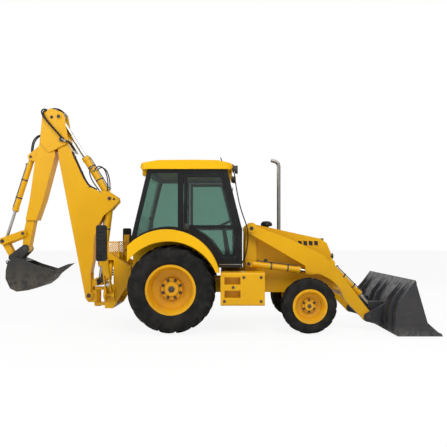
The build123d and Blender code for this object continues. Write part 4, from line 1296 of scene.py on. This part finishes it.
@dataclass
class Hoses(SubAssembly):
    """The hydraulic hoses, held at both ends, with crimped ferrules."""

    runs: tuple[HoseRun, ...] = (
        HoseRun(
            "head_hoses",
            ((-2.41, -0.164, 3.10), (-2.47, -0.166, 3.18), (-2.59, -0.166, 3.31), (-2.70, -0.166, 3.44),
             (-2.765, -0.164, 3.53), (-2.775, -0.15, 3.60), (-2.72, -0.12, 3.635), (-2.68, -0.10, 3.60)),
            0.012, "dipper", (ORIGIN, (0.028, -0.002, -0.020)),
        ),
        HoseRun(
            "crown_hose",
            ((-2.70, -0.06, 3.585), (-2.66, -0.06, 3.625), (-2.60, -0.06, 3.652), (-2.52, -0.06, 3.640),
             (-2.45, -0.06, 3.605), (-2.41, -0.06, 3.545)),
            0.012, "dipper", (ORIGIN, (0.0, 0.12, 0.0)),
        ),
        HoseRun(
            "elbow_hoses",
            ((-2.22, -0.095, 2.90), (-2.27, -0.105, 2.985), (-2.31, -0.135, 3.055), (-2.345, -0.160, 3.085),
             (-2.38, -0.164, 3.092), (-2.42, -0.164, 3.110)),
            0.012, "boom", (ORIGIN, (0.028, 0.0, -0.012)), "dipper", (-2.30, 0.0, 3.03), (-2.41, 0.0, 3.10),
        ),
        HoseRun(
            "bucket_hoses",
            ((-2.735, -0.03, 3.20), (-2.79, -0.03, 3.215), (-2.88, -0.03, 3.20), (-2.955, -0.03, 3.12),
             (-2.985, -0.03, 3.00), (-2.985, -0.03, 2.90), (-2.99, -0.03, 2.868)),
            0.011, "dipper", (ORIGIN, (0.0, 0.06, 0.0)), "bucket_barrel",
            (-2.96, 0.0, 3.10), (-2.985, 0.0, 2.90),
        ),
        HoseRun(
            "ram_loop_front",
            ((-1.690, -0.075, 2.22), (-1.675, -0.085, 2.33), (-1.685, -0.09, 2.48), (-1.73, -0.09, 2.62),
             (-1.81, -0.085, 2.68), (-1.875, -0.075, 2.66), (-1.92, -0.066, 2.60)),
            0.010, "boom", (ORIGIN, (0.0, 0.15, 0.0)), "dipper_barrel",
            (-1.67, 0.0, 2.30), (-1.80, 0.0, 2.68),
        ),
        HoseRun(
            "ram_loop_back",
            ((-1.800, -0.095, 2.235), (-1.855, -0.105, 2.31), (-1.935, -0.105, 2.42), (-1.985, -0.10, 2.54),
             (-1.985, -0.09, 2.63), (-1.96, -0.068, 2.66)),
            0.010, "boom", (ORIGIN,), "dipper_barrel", (-1.86, 0.0, 2.32), (-1.98, 0.0, 2.56),
        ),
        HoseRun(
            "swing_hoses",
            ((-1.505, -0.385, 0.95), (-1.505, -0.32, 0.95), (-1.58, -0.24, 0.93), (-1.68, -0.22, 0.87),
             (-1.78, -0.19, 0.80), (-1.84, -0.14, 0.765), (-1.862, -0.085, 0.76)),
            0.013, "chassis", (ORIGIN, (0.006, 0, -0.034), (0.012, 0, -0.068)), "swing_post",
            (-1.62, 0.0, 0.9), (-1.83, 0.0, 0.76),
        ),
        HoseRun(
            "cab_lines",
            ((0.435, -0.70, 2.49), (0.445, -0.705, 2.38), (0.480, -0.71, 2.16), (0.525, -0.71, 1.95),
             (0.585, -0.705, 1.77), (0.650, -0.70, 1.60), (0.645, -0.70, 1.36), (0.600, -0.70, 1.14),
             (0.555, -0.68, 1.07)),
            0.008, "chassis", (ORIGIN, (0.0, 0.04, 0.0)),
        ),
    )

    def build(self) -> None:
        """Lay every set of hoses."""
        for run in self.runs:
            rubber, metal = Sculpt(), Sculpt()
            for shift in run.beside:
                line = [Vector(point) + Vector(shift) for point in run.route]
                rubber.tube(line, run.radius, 12)
                self.ferrule(metal, line[0], line[1] - line[0], run.radius)
                self.ferrule(metal, line[-1], line[-2] - line[-1], run.radius)
            self.hold(rubber.piece(run.name, self.finishes.hose, 60.0), run, "black_plastic")
            self.hold(metal.piece(f"{run.name}_ferrules", self.finishes.zinc), run, "dark_casting")

    def hold(self, piece: Piece, run: HoseRun, slot: str) -> None:
        """Let a piece ride on the run's body; where the run has a second body, the piece is baked in place and
        rides on no body.

        Args:
            piece: The finished object.
            run: The set of hoses that it belongs to.
            slot: The record's material slot.
        """
        if not run.second:
            self.keep(piece, run.body, slot)
            return
        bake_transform(piece)
        LOG.info("%s bends between %s and %s", piece.name, run.body, run.second)

    def ferrule(self, shape: Sculpt, seat: Vector, along: Vector, radius: float) -> None:
        """A crimped ferrule with the collar of its fitting.

        Args:
            shape: What it is added to.
            seat: The hose's end.
            along: The direction from the end into the hose.
            radius: The hose's radius.
        """
        collar, neck, crimp = radius * 1.35, radius * 1.15, radius * 1.28
        profile = (
            (radius * 0.7, -0.012), (collar, -0.012), (collar, 0.002), (neck, 0.004),
            (crimp, 0.008), (crimp, 0.030), (radius * 1.12, 0.034),
        )
        shape.lathe(profile, seat, along, 12)


@dataclass
class BoomLines(SubAssembly):
    """The hoses that lie along the boom's front edge, seated on its skin and clamped."""

    first: Pair = (-1.90, 2.27)
    last: Pair = (-2.25, 2.93)
    stations: int = 8
    rows: tuple[float, ...] = (-0.095, -0.062)
    radius: float = 0.012
    stand_off: float = 0.003
    clamp_half: float = 0.018
    probe: float = 0.4

    def build(self) -> None:
        """Lay the hoses and their clamps."""
        skin = Surface("boom")
        edge = Vector((self.last[0] - self.first[0], 0, self.last[1] - self.first[1])).normalized()
        out = edge.cross(Axis.Y.value)
        out = out if out.x > 0 else -out
        rubber, metal = Sculpt(), Sculpt()
        for row in self.rows:
            line = []
            for step in range(self.stations + 1):
                share = step / self.stations
                x = self.first[0] + (self.last[0] - self.first[0]) * share
                z = self.first[1] + (self.last[1] - self.first[1]) * share
                seat = skin.hit(Vector((x, row, z)) + out * self.probe, -out)
                if seat is not None:
                    line.append(seat + out * (self.radius + self.stand_off))
            rubber.tube(line, self.radius, 12)
            half = Vector((1, 1, 1)) * self.clamp_half
            for point in (line[1], line[len(line) // 2], line[-2]):
                metal.block(point - half, point + half, 0.006)
        self.keep(rubber.piece("boom_edge_hoses", self.finishes.hose, 60.0), "boom", "black_plastic")
        self.keep(metal.piece("boom_hose_clamps", self.finishes.casting), "boom", "dark_casting")


@dataclass
class CabTrim(SubAssembly):
    """The cab's lamps, door handles, wiper, aerial, sill strips with their sheets of painted shade, and fender
    liners.
    """

    lamp_y: float = 0.66
    lamp_at: Pair = (0.455, 2.535)
    cup: Profile = (
        (0.018, -0.052), (0.045, -0.046), (0.062, -0.020), (0.066, 0.030), (0.060, 0.034), (0.056, 0.020),
    )
    lens: Profile = ((0.056, 0.016), (0.054, 0.026), (0.035, 0.034), (0.012, 0.037))
    bracket: tuple[Triple, ...] = ((-0.03, 0, 0.05), (-0.04, 0, 0.08), (-0.07, 0, 0.075))
    handle_y: float = 0.777
    plate_x: Pair = (-0.335, -0.265)
    plate_z: Pair = (1.585, 1.685)
    plate_out: float = 1.012
    pull: tuple[Pair, ...] = ((1.0, 1.595), (1.045, 1.60), (1.05, 1.635), (1.045, 1.67), (1.0, 1.675))
    strip_x: Pair = (0.20, 0.545)
    strip_y: Pair = (0.752, 0.758)
    strip_z: Pair = (1.046, 1.058)
    # Painted shade: a black sheet behind the gap under each door.
    backing_x: Pair = (0.00, 0.50)
    backing_y: Pair = (0.690, 0.696)
    backing_z: Pair = (1.046, 1.17)
    liner_centre: Pair = (-0.5895, 0.783)
    liner_radius: float = 0.794
    liner_y: Pair = (0.575, 1.035)
    liner_turns: Pair = (20.0, 142.0)
    cover_radius: float = 0.817
    cover_y: Pair = (0.540, 0.700)
    cover_turns: Pair = (35.0, 130.0)
    sheet: float = 0.006
    arc_steps: int = 24
    wiper_ends: tuple[Triple, Triple] = ((1.2, -0.20, 2.30), (1.2, 0.18, 2.00))
    wiper_points: int = 4
    wiper_arm: Triple = (0.012, -0.1, 0.16)
    aerial_at: Triple = (0.24, -0.62, 3.2)
    aerial_lean: Triple = (-0.35, 0, 1)

    def build(self) -> None:
        """Build the trim on both sides."""
        for side in Side:
            self.lamp(side)
            self.handle(side)
        self.sill()
        self.liners()
        self.wiper()
        self.aerial()

    def lamp(self, side: Side) -> None:
        """A round work lamp in a black cup on its bracket, at the roof's front corner.

        Args:
            side: The side that it hangs on.
        """
        x, z = self.lamp_at
        centre = Vector((x, side.value * self.lamp_y, z))
        cup, lens = Sculpt(), Sculpt()
        cup.lathe(self.cup, centre, Axis.X.value, 28)
        cup.tube([centre + Vector(offset) for offset in self.bracket], 0.012, 8)
        lens.lathe(self.lens, centre, Axis.X.value, 28)
        self.keep(cup.piece(f"work_lamp_{side.word}", self.finishes.plastic), "chassis", "black_plastic")
        self.keep(lens.piece(f"work_lamp_lens_{side.word}", self.finishes.lens), "chassis", "chrome_rod")

    def handle(self, side: Side) -> None:
        """The pull handle of a door on its plate.

        Args:
            side: The door's side.
        """
        y = side.value * self.handle_y
        shape = Sculpt()
        near, far = sorted((y, y * self.plate_out))
        low = Vector((self.plate_x[0], near, self.plate_z[0]))
        shape.block(low, Vector((self.plate_x[1], far, self.plate_z[1])), 0.006)
        middle = sum(self.plate_x) / 2
        shape.tube([Vector((middle, y * out, z)) for out, z in self.pull], 0.009, 10)
        piece = shape.piece(f"door_handle_{side.word}", self.finishes.plastic)
        self.keep(piece, f"door_{side.word}", "black_plastic")

    def sill(self) -> None:
        """The pale wear strips along the cab's sills, over a black sheet of painted shade behind the gap under
        each door.
        """
        strip, gap_shade = Sculpt(), Sculpt()
        parts = (
            (strip, self.strip_x, self.strip_y, self.strip_z),
            (gap_shade, self.backing_x, self.backing_y, self.backing_z),
        )
        for side in Side:
            for shape, x, y, z in parts:
                near, far = sorted(side.value * edge for edge in y)
                shape.block(Vector((x[0], near, z[0])), Vector((x[1], far, z[1])), 0.002)
        self.keep(strip.piece("sill_strips", self.finishes.zinc), "chassis", "dark_casting")
        self.keep(gap_shade.piece("sill_backing", self.finishes.void), "chassis", "black_plastic")

    def liners(self) -> None:
        """The black liners under the fenders, and the covers over the wheel arches inside the cab."""
        shape = Sculpt()
        for side in Side:
            self.arc(shape, side, self.liner_radius, self.liner_y, self.liner_turns)
            self.arc(shape, side, self.cover_radius, self.cover_y, self.cover_turns)
        self.keep(shape.piece("fender_liners", self.finishes.plastic), "chassis", "black_plastic")

    def arc(self, shape: Sculpt, side: Side, radius: float, y: Pair, turns: Pair) -> None:
        """A curved sheet about the fender's centre.

        Args:
            shape: What it is added to.
            side: The side that it lies on.
            radius: Its outer radius.
            y: How far out it starts and ends.
            turns: The angles above the x axis between which it runs, in degrees.
        """
        inner = radius - self.sheet
        section = ((radius, y[0]), (radius, y[1]), (inner, y[1]), (inner, y[0]))
        rings = []
        for step in range(self.arc_steps + 1):
            turn = math.radians(turns[0] + (turns[1] - turns[0]) * step / self.arc_steps)
            ring = []
            for out, across_y in section:
                x = self.liner_centre[0] + out * math.cos(turn)
                z = self.liner_centre[1] + out * math.sin(turn)
                ring.append(Vector((x, side.value * across_y, z)))
            rings.append(ring)
        shape.loft(rings)

    def wiper(self) -> None:
        """The windscreen's wiper, seated on the glass."""
        skin = Surface("cab_glass")
        first, last = (Vector(end) for end in self.wiper_ends)
        line = []
        for step in range(self.wiper_points + 1):
            seat = skin.hit(first.lerp(last, step / self.wiper_points), -Axis.X.value)
            if seat is not None:
                line.append(seat + Vector((0.012, 0, 0)))
        if len(line) > 2:
            shape = Sculpt()
            shape.tube(line, 0.007, 8)
            middle = line[len(line) // 2]
            shape.tube([middle, middle + Vector(self.wiper_arm)], 0.006, 8)
            self.keep(shape.piece("wiper", self.finishes.plastic), "chassis", "black_plastic")

    def aerial(self) -> None:
        """The stub of an aerial on the roof's right-hand front corner."""
        seat = Surface("cab_roof").hit(Vector(self.aerial_at), -Axis.Z.value)
        shape = Sculpt()
        foot = ((0.030, -0.002), (0.030, 0.012), (0.020, 0.022), (0.010, 0.026))
        shape.lathe(foot, seat, Axis.Z.value, 20)
        stub = ((0.010, 0.0), (0.008, 0.06), (0.004, 0.066))
        shape.lathe(stub, seat + Vector((0, 0, 0.02)), Vector(self.aerial_lean), 10)
        self.keep(shape.piece("roof_aerial", self.finishes.plastic), "chassis", "black_plastic")


@dataclass
class FrontTrim(SubAssembly):
    """The hood's black sheets of painted shade behind its slots, its latches, and the headlamps on its nose."""

    # Painted shade: the black sheets behind the hood's slots.
    liner_x: Pair = (1.15, 1.90)
    liner_z: Pair = (1.30, 1.46)
    liner_gap: float = 0.016
    liner_sheet: float = 0.004
    latch_x: Pair = (0.95, 1.75)
    latch_z: float = 1.10
    latch: Profile = ((0.030, -0.002), (0.030, 0.005), (0.024, 0.008))
    lamp_y: float = 0.285
    lamp_z: float = 1.17
    probe_x: float = 3.0
    cup: Profile = ((0.040, -0.020), (0.046, 0.022), (0.042, 0.026), (0.037, 0.018))
    lens: Profile = ((0.038, 0.014), (0.035, 0.021), (0.022, 0.027), (0.008, 0.029))

    def build(self) -> None:
        """Build the sheets of painted shade, the latches and the headlamps."""
        skin = Surface("hood")
        self.liners(skin)
        self.latches(skin)
        self.headlamps(skin)

    def liners(self, skin: Surface) -> None:
        """A black sheet a little way behind the slots on each side: painted shade that makes the slots look dark.

        Args:
            skin: The hood's skin.
        """
        foot, top = self.liner_z
        shape = Sculpt()
        for side in Side:
            rings = []
            for x in self.liner_x:
                seat = skin.hit(Vector((x, side.value, foot - 0.02)), -side.outward)
                near = seat.y - side.value * self.liner_gap
                far = near - side.value * self.liner_sheet
                section = ((near, foot), (near, top), (far, top), (far, foot))
                rings.append([Vector((seat.x, y, z)) for y, z in section])
            shape.loft(rings)
        self.keep(shape.piece("hood_slot_liners", self.finishes.void), "chassis", "black_plastic")

    def latches(self, skin: Surface) -> None:
        """The round latches along the hood's lower edge.

        Args:
            skin: The hood's skin.
        """
        shape = Sculpt()
        for side in Side:
            for x in self.latch_x:
                seat = skin.hit(Vector((x, side.value, self.latch_z)), -side.outward)
                if seat is not None:
                    shape.lathe(self.latch, seat, side.outward, 20)
                    shape.hex_bolt(seat + side.outward * 0.006, side.outward, 0.018)
        self.keep(shape.piece("hood_latches", self.finishes.casting), "chassis", "dark_casting")

    def headlamps(self, skin: Surface) -> None:
        """Two round headlamps seated on the hood's nose.

        Args:
            skin: The hood's skin.
        """
        cups, lenses = Sculpt(), Sculpt()
        for side in Side:
            start = Vector((self.probe_x, side.value * self.lamp_y, self.lamp_z))
            seat = skin.hit(start, -Axis.X.value)
            cups.lathe(self.cup, seat, Axis.X.value, 28)
            lenses.lathe(self.lens, seat, Axis.X.value, 28)
        self.keep(cups.piece("headlamp_bezels", self.finishes.plastic), "chassis", "black_plastic")
        self.keep(lenses.piece("headlamp_lenses", self.finishes.lens), "chassis", "chrome_rod")


@dataclass
class StepTrim(SubAssembly):
    """The step boxes' bolts and the open-mesh plates over the rear frame."""

    bolt_spots: tuple[Pair, ...] = (
        (0.57, 0.87), (0.41, 0.72), (0.83, 0.87), (0.83, 0.51), (0.28, 0.51),
    )
    bolt_flats: float = 0.026
    plate_x: Pair = (-1.60, -1.43)
    plate_z: Pair = (1.135, 1.40)
    plate_y: float = 0.405
    strands: int = 5
    rim_radius: float = 0.010
    strand_radius: float = 0.006

    def build(self) -> None:
        """Build the trim on both sides."""
        skin = Surface("step_boxes")
        bolts, mesh = Sculpt(), Sculpt()
        for side in Side:
            for x, z in self.bolt_spots:
                seat = skin.hit(Vector((x, side.value * 2, z)), -side.outward)
                if seat is not None:
                    bolts.hex_bolt(seat, side.outward, self.bolt_flats)
            self.open_mesh(mesh, side)
        self.keep(bolts.piece("step_bolts", self.finishes.casting), "chassis", "dark_casting")
        self.keep(mesh.piece("open_mesh_plates", self.finishes.yellow), "chassis", "yellow_paint")

    def open_mesh(self, shape: Sculpt, side: Side) -> None:
        """A framed plate of crossing strands that stands on the rear frame.

        Args:
            shape: What it is added to.
            side: The side that it stands on.
        """
        y = side.value * self.plate_y
        left, right = self.plate_x
        foot, top = self.plate_z
        corners = [(left, foot), (right, foot), (right, top), (left, top), (left, foot)]
        for (x0, z0), (x1, z1) in zip(corners, corners[1:]):
            shape.tube([Vector((x0, y, z0)), Vector((x1, y, z1))], self.rim_radius, 8)
        step = (right - left) / self.strands
        for i in range(-self.strands, self.strands):
            start = left + i * step
            for lean in (1, -1):
                ends = []
                for z in (foot, top):
                    run = start + (z - foot) * lean + (0 if lean > 0 else top - foot)
                    ends.append(Vector((run, y, z)))
                cut = self.trim(ends, left, right)
                if cut is not None:
                    shape.tube(cut, self.strand_radius, 6)

    def trim(self, ends: list[Vector], left: float, right: float) -> list[Vector] | None:
        """Keep the part of a strand that lies between the plate's sides.

        Args:
            ends: The strand's two ends.
            left: The plate's lower x.
            right: Its higher x.

        Returns:
            The kept ends, or None where nothing is left.
        """
        first, last = ends
        span = last.x - first.x
        shares = sorted(((left - first.x) / span, (right - first.x) / span))
        begin, finish = max(0.0, shares[0]), min(1.0, shares[1])
        if finish - begin < 0.05:
            return None
        return [first.lerp(last, begin), first.lerp(last, finish)]


@dataclass
class BucketTrim(SubAssembly):
    """The loader edge's plough bolts, the hoe bucket's lifting ring, and the pads' ribs."""

    edge_bolts: int = 12
    edge_half: float = 1.05
    edge_x: float = 3.40
    edge_bolt: Profile = ((0.020, -0.003), (0.020, 0.004), (0.014, 0.009))
    ring_y: float = -0.165
    ring_z: float = 1.06
    ring_radius: float = 0.030
    ring_bar: float = 0.007
    ring_sides: int = 10
    pad_ribs: int = 9
    rib_half: float = 0.012
    rib_inset: float = 0.015
    rib_margin: float = 0.04

    def build(self) -> None:
        """Build all three."""
        self.edge()
        self.lifting_ring()
        for side in Side:
            self.ribs(side)

    def edge(self) -> None:
        """A row of bolt heads along the loader bucket's cutting edge."""
        skin = Surface("loader_bucket")
        shape = Sculpt()
        for step in range(self.edge_bolts):
            y = -self.edge_half + 2 * self.edge_half * step / (self.edge_bolts - 1)
            seat = skin.hit(Vector((self.edge_x, y, 2.0)), -Axis.Z.value)
            if seat is not None:
                shape.lathe(self.edge_bolt, seat, Axis.Z.value, 16)
        self.keep(shape.piece("edge_bolts", self.finishes.casting), "loader_bucket", "dark_casting")

    def lifting_ring(self) -> None:
        """A ring welded to the back of the hoe bucket."""
        seat = Surface("hoe_bucket").hit(Vector((-4.0, self.ring_y, self.ring_z)), Axis.X.value)
        if seat is None:
            return
        centre = seat + Vector((-self.ring_radius * 0.8, 0, 0))
        shape = Sculpt()
        profile = []
        for step in range(self.ring_sides):
            turn = math.tau * step / self.ring_sides
            radius = self.ring_radius + self.ring_bar * math.cos(turn)
            profile.append((radius, self.ring_bar * math.sin(turn)))
        shape.lathe(profile, centre, Axis.Y.value, 24, closed=True)
        self.keep(shape.piece("lifting_ring", self.finishes.casting), "hoe_bucket", "dark_casting")

    def ribs(self, side: Side) -> None:
        """Ribs across the outer face of a stabilizer's rubber pad.

        Args:
            side: The pad's side.
        """
        low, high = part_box(f"stabilizer_pad_{side.word}")
        face = high.y if side is Side.LEFT else low.y
        near, far = sorted((face - side.value * 0.004, face + side.value * 0.007))
        left, right = low.x + self.rib_inset, high.x - self.rib_inset
        spread = high.z - low.z - 2 * self.rib_margin
        shape = Sculpt()
        for step in range(self.pad_ribs):
            z = low.z + self.rib_margin + spread * step / (self.pad_ribs - 1)
            foot, top = z - self.rib_half, z + self.rib_half
            shape.block(Vector((left, near, foot)), Vector((right, far, top)), 0.004)
        piece = shape.piece(f"pad_ribs_{side.word}", self.finishes.pad)
        self.keep(piece, f"stabilizer_{side.word}", "pad_rubber")


def main() -> None:
    """Build and dress every sub-assembly in order."""
    logging.basicConfig(level=logging.INFO, format="%(message)s")
    finishes = Finishes()
    Studio().build()
    Bodywork(finishes).dress()
    for side in Side:
        Wheel(finishes, REAR_WHEEL, side).build()
        Wheel(finishes, FRONT_WHEEL, side).build()
    trims = (OperatorSeat, PinEnds, Rams, Hoses, BoomLines, CabTrim, FrontTrim, StepTrim, BucketTrim)
    for trim in trims:
        trim(finishes).build()


if __name__ == "__main__":
    main()
